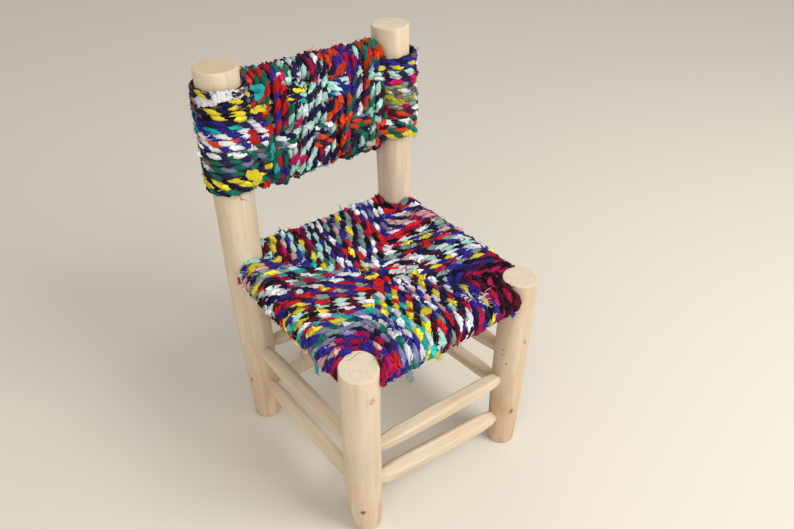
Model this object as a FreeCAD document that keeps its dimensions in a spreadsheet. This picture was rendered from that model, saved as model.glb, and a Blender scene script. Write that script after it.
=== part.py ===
import FreeCAD, Part
import math
import os
import Sketcher
from FreeCAD import Vector

# A child's chair of peeled poles, with a seat and a back of twisted rag rope.
# Millimetres. Seen from the front, +X is to the right; +Y is to the back, +Z up.

SIZES = (
    ("seat_width", 259),
    ("seat_depth", 267),
    ("seat_shift", 8.3),
    ("seat_rail_height", 277),
    ("seat_rail_across", 27),
    ("seat_taper_run", 14),
    ("seat_dish", 20),
    ("back_rail_across", 15),
    ("back_top_rail_height", 532),
    ("back_bottom_rail_height", 405),
    ("tenon_across", 13),
    ("tenon_stop", 9),
    ("tenon_show", 4),
    ("taper_run", 34),
    ("shoulder_share", 0.9),
    ("mortise_clearance", 0.15),
    ("mortise_end_gap", 0.5),
    ("post_belly", 1.6),
    ("top_ease", 3),
    ("foot_spare", 12),
    ("heel_depth", 13),
    ("heel_height", 95),
    ("heel_bearing", 142),
    ("rope_across", 8),
    ("rope_clearance", 0.3),
    ("rope_groove", 0.5),
    ("back_rope_across", 8.2),
    ("back_rope_pitch", 9.7),
    ("courses_bottom", 406),
    ("courses_top", 531),
    ("courses_drop", 20),
    ("courses_pinch", 45),
)

# Which seat corner each post stands at, as signs of X and Y.
CORNERS = {
    "front_left_leg": (-1, -1),
    "front_right_leg": (1, -1),
    "rear_left_post": (-1, 1),
    "rear_right_post": (1, 1),
}

# Foot offset from the seat corner, then the height, the widths and where the foot's taper starts.
POST_SIZES = {
    "front_left_leg": {"foot_x": 1.5, "foot_y": 3.5, "height": 291, "top": 48.5, "foot": 46, "taper": 150},
    "front_right_leg": {"foot_x": -6.6, "foot_y": -5, "height": 298, "top": 47, "foot": 39, "taper": 190},
    "rear_left_post": {"foot_x": -2.5, "foot_y": -6.9, "height": 560, "top": 53, "foot": 40, "taper": 260},
    "rear_right_post": {"foot_x": 2.5, "foot_y": -6.9, "height": 558, "top": 51, "foot": 40, "taper": 250},
}

# The round stretchers: first post, second post, axis height at each, width at the middle.
STRETCHERS = {
    "front_stretcher_upper": ("front_left_leg", "front_right_leg", 138, 129, 20),
    "front_stretcher_lower": ("front_left_leg", "front_right_leg", 73, 50, 22),
    "left_stretcher_upper": ("front_left_leg", "rear_left_post", 145, 136, 20),
    "left_stretcher_lower": ("front_left_leg", "rear_left_post", 65, 72, 19),
    "right_stretcher_upper": ("front_right_leg", "rear_right_post", 163, 142, 20),
    "right_stretcher_lower": ("front_right_leg", "rear_right_post", 100, 72, 20),
    "rear_stretcher_upper": ("rear_left_post", "rear_right_post", 129, 127, 20),
    "rear_stretcher_lower": ("rear_left_post", "rear_right_post", 53, 58, 20),
}

SEAT_RAILS = {
    "seat_rail_front": ("front_left_leg", "front_right_leg"),
    "seat_rail_rear": ("rear_left_post", "rear_right_post"),
    "seat_rail_left": ("front_left_leg", "rear_left_post"),
    "seat_rail_right": ("front_right_leg", "rear_right_post"),
}

doc = FreeCAD.newDocument("ChildChair")
sheet = doc.addObject("Spreadsheet::Sheet", "Sizes")


def fill_sheet():
    """Write every driving size to the sheet, one row each, under its own name."""
    rows = list(SIZES)
    for post, sizes in POST_SIZES.items():
        rows += [(f"{post}_{word}", value) for word, value in sizes.items()]
    for stretcher, (_, _, first, second, across) in STRETCHERS.items():
        rows += [
            (f"{stretcher}_first", first),
            (f"{stretcher}_second", second),
            (f"{stretcher}_across", across),
        ]
    for number, (alias, value) in enumerate(rows, start=1):
        sheet.set(f"A{number}", alias)
        sheet.set(f"B{number}", str(value))
        sheet.setAlias(f"B{number}", alias)
    doc.recompute()


def cell(alias):
    return f"Sizes.{alias}"


def value_of(expression):
    """The number that an expression over the sheet has now."""
    found = sheet.evalExpression(expression)
    return float(getattr(found, "Value", found))


def plane(body, role):
    return next(item for item in body.Origin.OriginFeatures if item.Role == role)


def post_axis(post, height):
    """Expressions for X and Y of a post's axis at a height."""
    side, depth = CORNERS[post]
    share = f"(1 - ({height}) / {cell('seat_rail_height')})"
    x = f"({side} * {cell('seat_width')} / 2 + {cell(post + '_foot_x')} * {share})"
    y = f"({depth} * {cell('seat_depth')} / 2 - {cell('seat_shift')} + {cell(post + '_foot_y')} * {share})"
    return x, y


def line_between(start, end):
    """A placement at start whose Z axis points to end, and the length between them."""
    dx, dy, dz = (f"(({b}) - ({a}))" for a, b in zip(start, end))
    length = f"sqrt({dx} ^ 2 + {dy} ^ 2 + {dz} ^ 2)"
    turn = f"rotation(atan2({dy}; {dx}); acos({dz} / {length}); 0)"
    return f"placement(vector({start[0]}; {start[1]}; {start[2]}); {turn})", length


def moved_on(placement, distance):
    """The same placement, moved along its own Z axis."""
    return f"{placement} * placement(vector(0; 0; {distance}); rotation(0; 0; 0))"


def outline(body, name, support, points, arcs):
    """A closed sketch through points given as pairs of expressions. arcs maps an edge to its radius."""
    sketch = body.newObject("Sketcher::SketchObject", name)
    sketch.AttachmentSupport = [(plane(body, support), "")]
    sketch.MapMode = "FlatFace"
    places = [Vector(value_of(x), value_of(y), 0) for x, y in points]
    for edge, start in enumerate(places):
        end = places[(edge + 1) % len(places)]
        if edge in arcs:
            radius = value_of(arcs[edge])
            middle = (start + end) / 2
            along = end - start
            outward = Vector(along.y, -along.x, 0).normalize()
            half = along.Length / 2
            rise = radius - math.sqrt(radius * radius - half * half)
            sketch.addGeometry(Part.Arc(start, middle + outward * rise, end), False)
        else:
            sketch.addGeometry(Part.LineSegment(start, end), False)
    # An arc drawn against its own sense starts at its second point.
    ends = []
    for edge, start in enumerate(places):
        drawn = sketch.Geometry[edge]
        ends.append((1, 2) if drawn.StartPoint.distanceToPoint(start) < 1e-6 else (2, 1))
    for edge, (x, y) in enumerate(points):
        before = edge - 1 if edge else len(points) - 1
        first = ends[edge][0]
        sketch.addConstraint(Sketcher.Constraint("Coincident", before, ends[before][1], edge, first))
        for word, expression, across in (("DistanceX", x, -2), ("DistanceY", y, -1)):
            if expression == "0":
                sketch.addConstraint(Sketcher.Constraint("PointOnObject", edge, first, across))
                continue
            index = sketch.addConstraint(
                Sketcher.Constraint(word, -1, 1, edge, first, value_of(expression))
            )
            sketch.renameConstraint(index, f"{word}{edge}")
            sketch.setExpression(f"Constraints.{word}{edge}", expression)
    for edge, radius in arcs.items():
        index = sketch.addConstraint(Sketcher.Constraint("Radius", edge, value_of(radius)))
        sketch.renameConstraint(index, f"Radius{edge}")
        sketch.setExpression(f"Constraints.Radius{edge}", radius)
    return sketch


def revolve(body, sketch):
    turned = body.newObject("PartDesign::Revolution", "Turned")
    turned.Profile = sketch
    turned.ReferenceAxis = (sketch, ["V_Axis"])
    turned.Angle = 360
    return turned


def make_post(post, rails):
    """A peeled pole: swelling upward from the foot, top edge eased, foot sawn level, mortised."""
    body = doc.addObject("PartDesign::Body", post)
    foot = post_axis(post, "0")
    top = post_axis(post, cell(post + "_height"))
    stand, length = line_between((*foot, "0"), (*top, cell(post + "_height")))
    spare = cell("foot_spare")
    full = f"({length} + {spare})"
    foot_radius = f"({cell(post + '_foot')} / 2)"
    radius = f"({cell(post + '_top')} / 2)"
    taper = f"({cell(post + '_taper')} + {spare})"
    ease = cell("top_ease")
    swell = f"(({radius} - {foot_radius}) * 0.12)"
    profile = outline(
        body,
        "Profile",
        "XY_Plane",
        [
            ("0", "0"),
            (foot_radius, "0"),
            (f"(({foot_radius} + {radius} - {swell}) / 2 + {cell('post_belly')})", f"({taper} / 2)"),
            (f"({radius} - {swell})", taper),
            (radius, f"({full} - {ease})"),
            (f"({radius} - {ease})", full),
            ("0", full),
        ],
        {4: ease},
    )
    profile.setExpression(
        "AttachmentOffset",
        f"{moved_on(stand, '-' + spare)} * placement(vector(0; 0; 0); rotation(vector(1; 0; 0); 90))",
    )
    doc.recompute()
    revolve(body, profile)
    doc.recompute()
    floor = body.newObject("PartDesign::SubtractiveBox", "SawnFoot")
    room = f"({cell(post + '_foot')} * 3)"
    floor.setExpression("Length", room)
    floor.setExpression("Width", room)
    floor.setExpression("Height", f"{spare} * 3")
    floor.setExpression(
        "Placement",
        f"placement(vector({foot[0]} - {room} / 2; {foot[1]} - {room} / 2; -3 * {spare}); rotation(0; 0; 0))",
    )
    if post == "front_left_leg":
        hew_heel(body, post, foot)
    for number, (rail, at_far_end) in enumerate(rails):
        cut_mortise(body, number, rail, at_far_end)
    doc.recompute()
    return body


def hew_heel(body, post, foot):
    """Take a slanting flat off the outer side of a foot."""
    depth = cell("heel_depth")
    height = cell("heel_height")
    bearing = cell("heel_bearing")
    radius = f"({cell(post + '_top')} / 2 - {depth})"
    size = f"({height} * 3)"
    heel = body.newObject("PartDesign::SubtractiveBox", "HewnHeel")
    for side in ("Length", "Width", "Height"):
        heel.setExpression(side, size)
    heel.setExpression(
        "Placement",
        f"placement(vector({foot[0]} + {radius} * cos({bearing} * 1 deg);"
        f" {foot[1]} + {radius} * sin({bearing} * 1 deg); 0);"
        f" rotation({bearing}; 90 + atan({depth} / {height}) / 1 deg; 0))"
        f" * placement(vector(-2 * {height}; -{size} / 2; 0); rotation(0; 0; 0))",
    )


def cut_mortise(body, number, rail, at_far_end):
    """A blind round hole for one end of a rail."""
    placement, length = rail["line"]
    reach = rail["reach"]
    depth = f"({cell('tenon_stop')} - {cell('mortise_end_gap')})"
    bore = body.newObject("PartDesign::SubtractiveCylinder", f"Mortise{number}")
    bore.setExpression("Radius", f"{cell('tenon_across')} / 2 + {cell('mortise_clearance')}")
    bore.setExpression("Height", f"{reach} * 1.2 - {depth}")
    start = f"({length} - {reach} * 1.2)" if at_far_end else depth
    bore.setExpression("Placement", moved_on(placement, start))


def rail_data(first, second, first_height, second_height, across, taper):
    """Where a rail runs, its width, its taper and how far from a post's axis its tenon reaches."""
    start = (*post_axis(first, first_height), first_height)
    end = (*post_axis(second, second_height), second_height)
    widest = f"max({cell(first + '_top')}; {cell(second + '_top')})"
    return {
        "posts": (first, second),
        "line": line_between(start, end),
        "across": across,
        "taper": taper,
        "reach": f"({widest} / 2 + {cell('tenon_show')})",
    }


def make_rail(label, rail):
    """A whittled stick: a slightly barrelled middle, tapers, and a round tenon at each end."""
    placement, length = rail["line"]
    body = doc.addObject("PartDesign::Body", label)
    tenon = f"({cell('tenon_across')} / 2)"
    shoulder = f"({rail['across']} / 2 * {cell('shoulder_share')})"
    stop = cell("tenon_stop")
    reach = rail["reach"]
    swelled = f"({reach} + {rail['taper']})"
    profile = outline(
        body,
        "Profile",
        "XZ_Plane",
        [
            ("0", stop),
            (tenon, stop),
            (tenon, reach),
            (shoulder, swelled),
            (f"({rail['across']} / 2)", f"({length} / 2)"),
            (shoulder, f"({length} - {swelled})"),
            (tenon, f"({length} - {reach})"),
            (tenon, f"({length} - {stop})"),
            ("0", f"({length} - {stop})"),
        ],
        {},
    )
    doc.recompute()
    revolve(body, profile)
    body.setExpression("Placement", placement)
    doc.recompute()
    return body


def flat_solid(faces):
    """A solid closed by flat faces, each given as its corner points in order."""
    shell = Part.Shell([Part.Face(Part.makePolygon([*points, points[0]])) for points in faces])
    shell.sewShape()
    solid = Part.Solid(shell)
    if solid.Volume < 0:
        solid.reverse()
    return solid


def ribs(start, end, across, groove):
    """Stations along a row of strands: place, and how far the strand stands up there."""
    count = max(2, round((end - start) / across))
    pitch = (end - start) / count
    stations = []
    for strand in range(count):
        for share, height in ((0, groove), (0.25, 1), (0.75, 1)):
            stations.append((start + (strand + share) * pitch, height * across))
    return stations


def meet(first, second):
    """Where two lines cross, each given as its normal's angle and its distance from the origin."""
    (a, p), (b, q) = first, second
    cross = math.sin(b - a)
    return (
        (p * math.sin(b) - q * math.sin(a)) / cross,
        (q * math.cos(a) - p * math.cos(b)) / cross,
    )


def least_gap(points, across):
    """The least gap between parts of a tube that lie more than four widths apart along it."""
    spots = []
    run = 0
    for start, end in zip(points, points[1:]):
        along = end - start
        steps = max(1, round(along.Length / across))
        for step in range(steps):
            share = step / steps
            spots.append((run + along.Length * share, start + along * share))
        run += along.Length
    return min(
        (second - first).Length - across
        for index, (here, first) in enumerate(spots)
        for there, second in spots[index + 1 :]
        if there - here > 4 * across and abs(second.z - first.z) < 3 * across
    )


def tube(points, across):
    """One unbroken six-sided tube along straight runs, mitred where they meet."""
    runs = [(end - start).normalize() for start, end in zip(points, points[1:])]
    side = runs[0].cross(Vector(0.31, 0.17, 0.93)).normalize()
    other = runs[0].cross(side)
    ring = []
    for corner in range(6):
        turn = math.radians(60 * corner)
        ring.append(points[0] + (side * math.cos(turn) + other * math.sin(turn)) * (across / 2))
    rings = [ring]
    for index, run in enumerate(runs):
        onward = runs[index + 1] if index + 1 < len(runs) else run
        mitre = run + onward
        place = points[index + 1]
        ring = [spot + run * ((place - spot).dot(mitre) / run.dot(mitre)) for spot in ring]
        rings.append(ring)
    faces = [rings[0], rings[-1]]
    for before, after in zip(rings, rings[1:]):
        for corner in range(6):
            beside = (corner + 1) % 6
            faces.append([before[corner], before[beside], after[beside], after[corner]])
    return flat_solid(faces)


def angles(first, last, step):
    """Angles from first to last in equal steps of about the given size, in degrees."""
    count = max(1, round(abs(last - first) / step))
    return [math.radians(first + (last - first) * k / count) for k in range(count + 1)]


def seat_sector(facing, near_post, far_post):
    """Strands over one seat rail, from the mitre with its neighbours above to the one below."""
    across = value_of(cell("rope_across"))
    clear = value_of(cell("rope_clearance"))
    groove = value_of(cell("rope_groove"))
    width = value_of(cell("seat_width"))
    depth = value_of(cell("seat_depth"))
    level = value_of(cell("seat_rail_height"))
    core = value_of(cell("seat_rail_across")) / 2 + clear
    half_run, half_cross = (width, depth) if facing in (-90, 90) else (depth, width)
    half_run /= 2
    half_cross /= 2
    start = -half_run + value_of(cell(near_post + "_top")) / 2 + clear
    end = half_run - value_of(cell(far_post + "_top")) / 2 - clear
    stations = ribs(start, 0, across, groove) + ribs(0, end, across, groove) + [(end, groove * across)]

    def inner_end(run):
        return half_cross * abs(run) / half_run + clear

    dish = math.degrees(math.atan2(value_of(cell("seat_dish")), half_cross))
    normals = angles(90 + dish, -90, 30)
    columns = []
    floor = []
    for run, height in stations:
        for rows, lift in ((columns, height), (floor, 0)):
            lines = [(normal, core + lift) for normal in normals]
            points = [meet(a, b) for a, b in zip(lines, lines[1:])]
            reach = inner_end(run) - half_cross
            mitre = (math.pi, -reach)
            points = [meet(mitre, lines[0]), *points, meet(lines[-1], mitre)]
            rows.append([(run, half_cross + out, up) for out, up in points])
    faces = []
    steps = len(columns[0])
    for left, right in zip(columns, columns[1:]):
        for step in range(steps - 1):
            faces.append([left[step], right[step], right[step + 1], left[step + 1]])
    middle = next(index for index, (run, _) in enumerate(stations) if run == 0)
    for first, last in ((0, middle), (middle, len(stations) - 1)):
        for end_row in (0, -1):
            edge = [column[end_row] for column in columns[first : last + 1]]
            faces.append([*edge, floor[last][end_row], floor[first][end_row]])
    for step in range(1, steps - 2):
        faces.append([floor[0][step], floor[-1][step], floor[-1][step + 1], floor[0][step + 1]])
    for row, beside in ((0, 1), (-1, -2)):
        faces.append(
            [floor[0][row], floor[middle][row], floor[-1][row], floor[-1][beside], floor[0][beside]]
        )
    for end_column, end_floor in ((columns[0], floor[0]), (columns[-1], floor[-1])):
        faces.append([*end_column, *reversed(end_floor)])
    turn = math.radians(facing)
    shift = value_of(cell("seat_shift"))

    def placed(point):
        run, out, up = point
        x = out * math.cos(turn) - run * math.sin(turn)
        y = out * math.sin(turn) + run * math.cos(turn)
        return Vector(x, y - shift, up + level)

    return flat_solid([[placed(point) for point in face] for face in faces])


def wound(label, corner, corners, start, end, pitch, across):
    """A rope wound round and round: corner(index, place) is where it turns, place moves from start to end."""
    loops = max(2, math.floor((end - start) / pitch))
    steps = loops * corners
    points = [corner(step % corners, start + (end - start) * step / steps) for step in range(steps + 1)]
    print(f"{label}: {loops} loops, least gap to itself {least_gap(points, across):.2f} mm")
    return tube(points, across)


def back_courses():
    """Rope wound round both rear posts, drawn in between them to the width of the back rails."""
    across = value_of(cell("back_rope_across"))
    clear = value_of(cell("rope_clearance"))
    pinch = value_of(cell("courses_pinch"))
    gap = value_of(cell("back_rail_across")) / 2 + clear
    width = value_of(cell("seat_width"))
    low, high = (value_of(cell(f"courses_{end}")) for end in ("bottom", "top"))
    sides = [
        ("rear_right_post", angles(90 + pinch, -90 - pinch, 30), math.radians(-90)),
        ("rear_left_post", angles(270 + pinch, 90 - pinch, 30), math.radians(90)),
    ]

    def fall(height):
        """The slope of a course: the bottom one is level, the top one drops to the right."""
        return value_of(cell("courses_drop")) / width * (height - low) / (high - low)

    def lines(height):
        found = []
        for post, turns, panel in sides:
            beside = height - fall(height) * CORNERS[post][0] * width / 2
            x, y = (value_of(word) for word in post_axis(post, str(beside)))
            radius = (value_of(cell(post + "_top")) + across) / 2 + clear
            found += [(turn, x * math.cos(turn) + y * math.sin(turn) + radius) for turn in turns]
            found.append((panel, y * math.sin(panel) + gap + across / 2))
        return found

    corners = len(lines(low))

    def corner(index, height):
        here = lines(height)
        x, y = meet(here[index], here[(index + 1) % corners])
        return Vector(x, y, height - fall(height) * x)

    pitch = value_of(cell("back_rope_pitch"))
    return wound("back_rope_courses", corner, corners, low + across / 2, high - across / 2, pitch, across)


def back_uprights():
    """Rope wound over the top back rail and under the bottom one, outside the courses."""
    across = value_of(cell("back_rope_across"))
    clear = value_of(cell("rope_clearance"))
    pinch = math.radians(value_of(cell("courses_pinch")))
    core = value_of(cell("back_rail_across")) / 2 + clear
    cover = core + across + clear
    rails = [value_of(cell(f"back_{end}_rail_height")) for end in ("bottom", "top")]
    courses = [
        value_of(cell("courses_bottom")),
        value_of(cell("courses_top")) + value_of(cell("courses_drop")) / 2,
    ]
    ends = {}
    for post in ("rear_left_post", "rear_right_post"):
        side = -CORNERS[post][0]
        x = max(value_of(post_axis(post, str(height))[0]) * side for height in courses + rails)
        radius = value_of(cell(post + "_top")) / 2 + clear + across
        slack = (radius + clear - cover * math.cos(pinch)) / math.sin(pinch)
        ends[side] = (x + slack + across / 2) * side
    foot, head = (value_of(post_axis("rear_left_post", str(height))[1]) for height in (0, 1))
    lean = Vector(0, head - foot, 1)
    stretch = lean.Length
    tilt = lean / stretch
    back = Vector(0, tilt.z, -tilt.y)
    low_rail, high_rail = (height * stretch for height in rails)
    low, high = (height * stretch for height in courses)
    turns = angles(90, -240, 30)

    def reach(turn):
        """How far out the taut rope's middle lies in one direction of the cross section."""
        u, v = math.cos(turn), math.sin(turn)
        round_rail = max(high_rail * v, low_rail * v) + core
        flat_courses = abs(u) * cover + max((high + clear) * v, (low - clear) * v)
        return max(round_rail, flat_courses) + across / 2

    lines = [(turn, reach(turn)) for turn in turns]
    corners = [meet(first, second) for first, second in zip(lines, [*lines[1:], lines[0]])]

    def corner(index, x):
        u, v = corners[index]
        return Vector(x, foot, 0) + back * u + tilt * v

    pitch = value_of(cell("back_rope_pitch"))
    return wound("back_rope_uprights", corner, len(corners), ends[1], ends[-1], pitch, across)


def make_rope(label, shape):
    rope = doc.addObject("Part::Feature", label)
    rope.Shape = shape
    return rope


def build():
    """Make every piece and return the finished ones by name."""
    fill_sheet()
    rails = {}
    for label, (first, second, _, _, _) in STRETCHERS.items():
        rails[label] = rail_data(
            first,
            second,
            cell(label + "_first"),
            cell(label + "_second"),
            cell(label + "_across"),
            cell("taper_run"),
        )
    for label, (first, second) in SEAT_RAILS.items():
        height = cell("seat_rail_height")
        rails[label] = rail_data(
            first, second, height, height, cell("seat_rail_across"), cell("seat_taper_run")
        )
    for end in ("top", "bottom"):
        height = cell(f"back_{end}_rail_height")
        rails[f"back_rail_{end}"] = rail_data(
            "rear_left_post",
            "rear_right_post",
            height,
            height,
            cell("back_rail_across"),
            cell("seat_taper_run"),
        )
    pieces = {}
    for post in CORNERS:
        ends = [(rail, rail["posts"][1] == post) for rail in rails.values() if post in rail["posts"]]
        pieces[post] = make_post(post, ends)
    for label, rail in rails.items():
        pieces[label] = make_rail(label, rail)
    sectors = {
        "seat_rope_front": (-90, "front_left_leg", "front_right_leg"),
        "seat_rope_right": (0, "front_right_leg", "rear_right_post"),
        "seat_rope_rear": (90, "rear_right_post", "rear_left_post"),
        "seat_rope_left": (180, "rear_left_post", "front_left_leg"),
    }
    for label, sector in sectors.items():
        pieces[label] = make_rope(label, seat_sector(*sector))
    pieces["back_rope_courses"] = make_rope("back_rope_courses", back_courses())
    pieces["back_rope_uprights"] = make_rope("back_rope_uprights", back_uprights())
    doc.recompute()
    return pieces


def write(pieces):
    """Stop if anything failed, and write each piece to its own file."""
    for item in doc.Objects:
        bad = {"Invalid", "Error"} & set(item.State)
        if bad:
            raise RuntimeError(f"{item.Label} is {bad}")
    os.makedirs("parts", exist_ok=True)
    for label, piece in pieces.items():
        shape = piece.Shape
        if shape.isNull() or not shape.isValid() or not shape.Solids:
            raise RuntimeError(f"{label} has no valid solid")
        piece.Label = label
        shape.exportStep(f"parts/{label}.step")


write(build())
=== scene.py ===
"""A child's chair of peeled poles, its seat and back woven from twisted rag rope."""

import math
import random

import bpy
import numpy as np
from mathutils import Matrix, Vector, noise
from mathutils.bvhtree import BVHTree


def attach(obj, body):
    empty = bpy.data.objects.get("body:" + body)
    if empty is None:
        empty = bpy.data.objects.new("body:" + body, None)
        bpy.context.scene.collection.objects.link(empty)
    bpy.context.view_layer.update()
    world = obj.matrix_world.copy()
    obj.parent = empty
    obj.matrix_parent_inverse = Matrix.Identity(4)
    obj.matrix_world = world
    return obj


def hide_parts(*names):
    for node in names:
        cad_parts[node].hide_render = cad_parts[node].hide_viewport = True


bl_info = {
    "name": "Rag Rope Child Chair",
    "version": (1, 0, 0),
    "blender": (4, 5, 0),
    "location": "View3D > Sidebar > Rag Chair",
    "description": "Dresses a pole chair with peeled wood and twisted rag rope",
    "category": "Object",
}

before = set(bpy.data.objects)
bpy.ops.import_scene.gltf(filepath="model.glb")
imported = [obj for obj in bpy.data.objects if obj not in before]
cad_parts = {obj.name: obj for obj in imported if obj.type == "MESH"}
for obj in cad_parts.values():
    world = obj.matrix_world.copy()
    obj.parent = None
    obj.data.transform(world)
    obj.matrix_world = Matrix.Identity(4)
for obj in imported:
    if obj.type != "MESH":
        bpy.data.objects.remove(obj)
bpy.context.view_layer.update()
MM = 0.001
FULL_TURN = 2 * math.pi

# Seat rails, on their axes, in millimetres.
SEAT_HALF_WIDTH = 129.5
SEAT_FRONT = -141.8
SEAT_REAR = 125.2
SEAT_MIDDLE = (SEAT_FRONT + SEAT_REAR) / 2
SEAT_HALF_DEPTH = (SEAT_REAR - SEAT_FRONT) / 2
RAIL_HEIGHT = 277.0
RAIL_RADIUS = 13.5
SEAT_DISH = 20.0
SEAT_TURNS = 13

# Each pole: its corner, how far its foot stands from the corner, height, widths at top and foot, taper.
POLES = {
    "front_left_leg": ((-1, -1), (1.5, 3.5), 291, 48.5, 46, 150),
    "front_right_leg": ((1, -1), (-6.6, -5.0), 298, 47, 39, 190),
    "rear_left_post": ((-1, 1), (-2.5, -6.9), 560, 53, 40, 260),
    "rear_right_post": ((1, 1), (2.5, -6.9), 558, 51, 40, 250),
}
POLE_BELLY = 1.6
TOP_EASE = 1.6
POLE_SIDES = 56
POST_BOW = 2.4
# Where the growth rings of each pole have their middle.
PITHS = ((-1.8, -3.1), (-6.5, 4.5), (3.0, -2.0), (-2.0, -3.0))

# The hewn heel of the front left foot: its bearing, its depth at the floor, its height, and its rounding.
HEEL_BEARING = math.radians(142)
HEEL_DEPTH = 14
HEEL_HEIGHT = 95
HEEL_REACH = 110
HEEL_ROUND = 9
HEEL_ROUND_HEIGHT = 34
# The slope of that leg's sawn top: where it begins, in what height it is reached, its way, rise and lift.
SLOPE_FROM = 262
SLOPE_RUN = 29
SLOPE_WAY = Vector((0.614, 0.789, 0))
SLOPE_RISE = 0.12
SLOPE_LIFT = 1.5

# Each stick: the poles at its two ends, its height at each and its width.
STICKS = {
    "front_stretcher_upper": ("front_left_leg", "front_right_leg", 138, 129, 20),
    "front_stretcher_lower": ("front_left_leg", "front_right_leg", 73, 50, 22),
    "left_stretcher_upper": ("front_left_leg", "rear_left_post", 145, 136, 20),
    "left_stretcher_lower": ("front_left_leg", "rear_left_post", 65, 72, 19),
    "right_stretcher_upper": ("front_right_leg", "rear_right_post", 163, 142, 20),
    "right_stretcher_lower": ("front_right_leg", "rear_right_post", 100, 72, 20),
    "rear_stretcher_upper": ("rear_left_post", "rear_right_post", 129, 127, 20),
    "rear_stretcher_lower": ("rear_left_post", "rear_right_post", 53, 58, 20),
}
TENON_RADIUS = 6.5
TENON_SHOW = 4.0
TENON_END = 9
STICK_TAPER = 26.0
STICK_SIDES = 40
STICK_UNEVENNESS = 1.1
HEWN_EDGE = math.radians(17)
HEWN_FLATS = 5
HEWN_WIDEST = 1.24

# Knots on the poles: place in millimetres, radius across, stretch along the pole, and how dark the middle is.
KNOTS = {
    "front_left_leg": (
        ((-129.1, -165.6, 255), 4.2, 1.1, 0.15),
        ((-143.0, -158.0, 47), 4.4, 1.1, 0.9),
    ),
    "front_right_leg": (
        ((105.0, -148.4, 187), 1.3, 1.2, 1.0),
        ((104.6, -148.0, 178), 1.3, 1.0, 1.0),
        ((106.9, -155.1, 164), 1.5, 1.3, 1.0),
        ((127.3, -166.2, 202), 1.8, 2.6, 0.9),
        ((117.7, -166.3, 71), 3.4, 1.8, 0.7),
    ),
    "rear_left_post": (((-153.3, 114.7, 79), 3.4, 1.2, 0.9),),
    "rear_right_post": (),
}
# Cracks: points that each one runs through.
CRACKS = {
    "front_left_leg": (
        (-136.4, -124.6, 295),
        (-131.2, -127.3, 295),
        (-124.1, -126.1, 295),
        (-117.4, -125.4, 295),
        (-112.8, -130.0, 293),
    ),
    "front_right_leg": ((107.9, -159.4, 0), (108.3, -159.8, 13)),
}
# How brown each pole turns towards its foot.
FOOT_BLUSH = {"front_left_leg": 0.3, "front_right_leg": 0.75, "rear_left_post": 0.45, "rear_right_post": 0.4}

# Back panel: rows of rope wound round the posts, and uprights woven through them.
COURSES = 16
COURSES_LOW = 410.5
COURSES_HIGH = 526.5
COURSES_FALL = 20.0
COURSE_DEPTH = 12.4
UPRIGHT_DEPTH = 20.0
UPRIGHTS = 21
UPRIGHT_REACH = 97.0
UPRIGHT_TOP = 543.5
UPRIGHT_BOTTOM = 393.5
UPRIGHT_ROUND = 16.0
POST_WRAP = 31.4
POST_SPAN = 256
# Where the rows leave the posts.
LEFT_WRAP_END = -62
RIGHT_WRAP_START = 66

# Places on the panel's front and back where the rows come over the uprights: x from and to, z from and to.
WINDOWS = (
    (-112, -82, 380, 496),
    (-48, -22, 496, 526),
    (-69, -42, 435, 466),
    (-15, 11, 428, 460),
    (11, 41, 487, 516),
    (45, 74, 423, 457),
    (80, 112, 494, 530),
    (86, 112, 380, 424),
)

# Rags in each turn of rope round a corner of the seat, from the pole to the middle: light ply, dark ply.
SEAT_MIXES = {
    (-1, -1): (
        "magenta crimson | blue maroon",
        "crimson pink magenta | blue navy",
        "red crimson pink | blue navy",
        "crimson red lavender | blue navy",
        "white grey | green lavender blue",
        "white lavender | blue green",
        "yellow lavender white | blue teal",
        "white yellow crimson | teal blue",
        "white yellow | teal maroon",
        "yellow white | maroon black",
        "mint red | maroon teal",
        "red yellow | teal blue navy",
        "yellow red grey | navy blue",
    ),
    (1, -1): (
        "crimson maroon | black maroon",
        "crimson magenta | black maroon",
        "crimson maroon | black navy",
        "blue crimson | black maroon",
        "blue crimson | navy blue",
        "yellow white blue | blue black",
        "white blue grey | blue navy",
        "white crimson | blue navy",
        "white yellow crimson | blue navy",
        "yellow white mint | maroon navy",
        "white mint | maroon navy",
        "white pink | maroon blue",
        "white red grey | maroon navy blue",
    ),
    (-1, 1): (
        "crimson mint white | blue maroon",
        "pink crimson yellow | blue navy",
        "crimson pink yellow | blue maroon",
        "pink grey crimson | blue navy",
        "mint yellow | blue grey",
        "teal mint orange | navy plum",
        "yellow mint crimson green | maroon black",
        "white mint crimson | maroon green",
        "mint white grey | navy crimson",
        "white grey mint | blue navy maroon",
        "white maroon | blue navy",
        "red white | blue navy",
        "red yellow grey | navy blue",
    ),
    (1, 1): (
        "red crimson | black blue",
        "white red | black navy",
        "white crimson | black blue",
        "white pink | blue navy",
        "pink lavender | blue navy",
        "white pink | blue crimson",
        "pink white red | crimson blue",
        "crimson red | black maroon",
        "white grey | black crimson",
        "white grey mint | navy black",
        "grey yellow mint | blue navy",
        "white pink grey | blue navy",
        "red pink | navy plum blue",
    ),
}
# How far the first turn leans to its pole, and how high the rope is heaped there.
SEAT_HUGS = {(-1, -1): 8.0, (1, -1): 4.0, (-1, 1): 6.0, (1, 1): 5.0}
SEAT_HEAPS = {(-1, -1): 0.0, (1, -1): 0.0, (-1, 1): 8.0, (1, 1): 3.0}
# In how many turns the lean and the heap die away, and how far inward the heap reaches.
HUG_TURNS = 1.8
HEAP_TURNS = 5.0
HEAP_REACH = 30
# The rounding of the first turn, how much less each later one has, and the least.
TURN_ROUND = 27.0
TURN_ROUND_LESS = 2.6
TURN_ROUND_LEAST = 9.0
# How far a turn may stand out from a rail.
TURN_BULGE = 3.2

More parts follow.
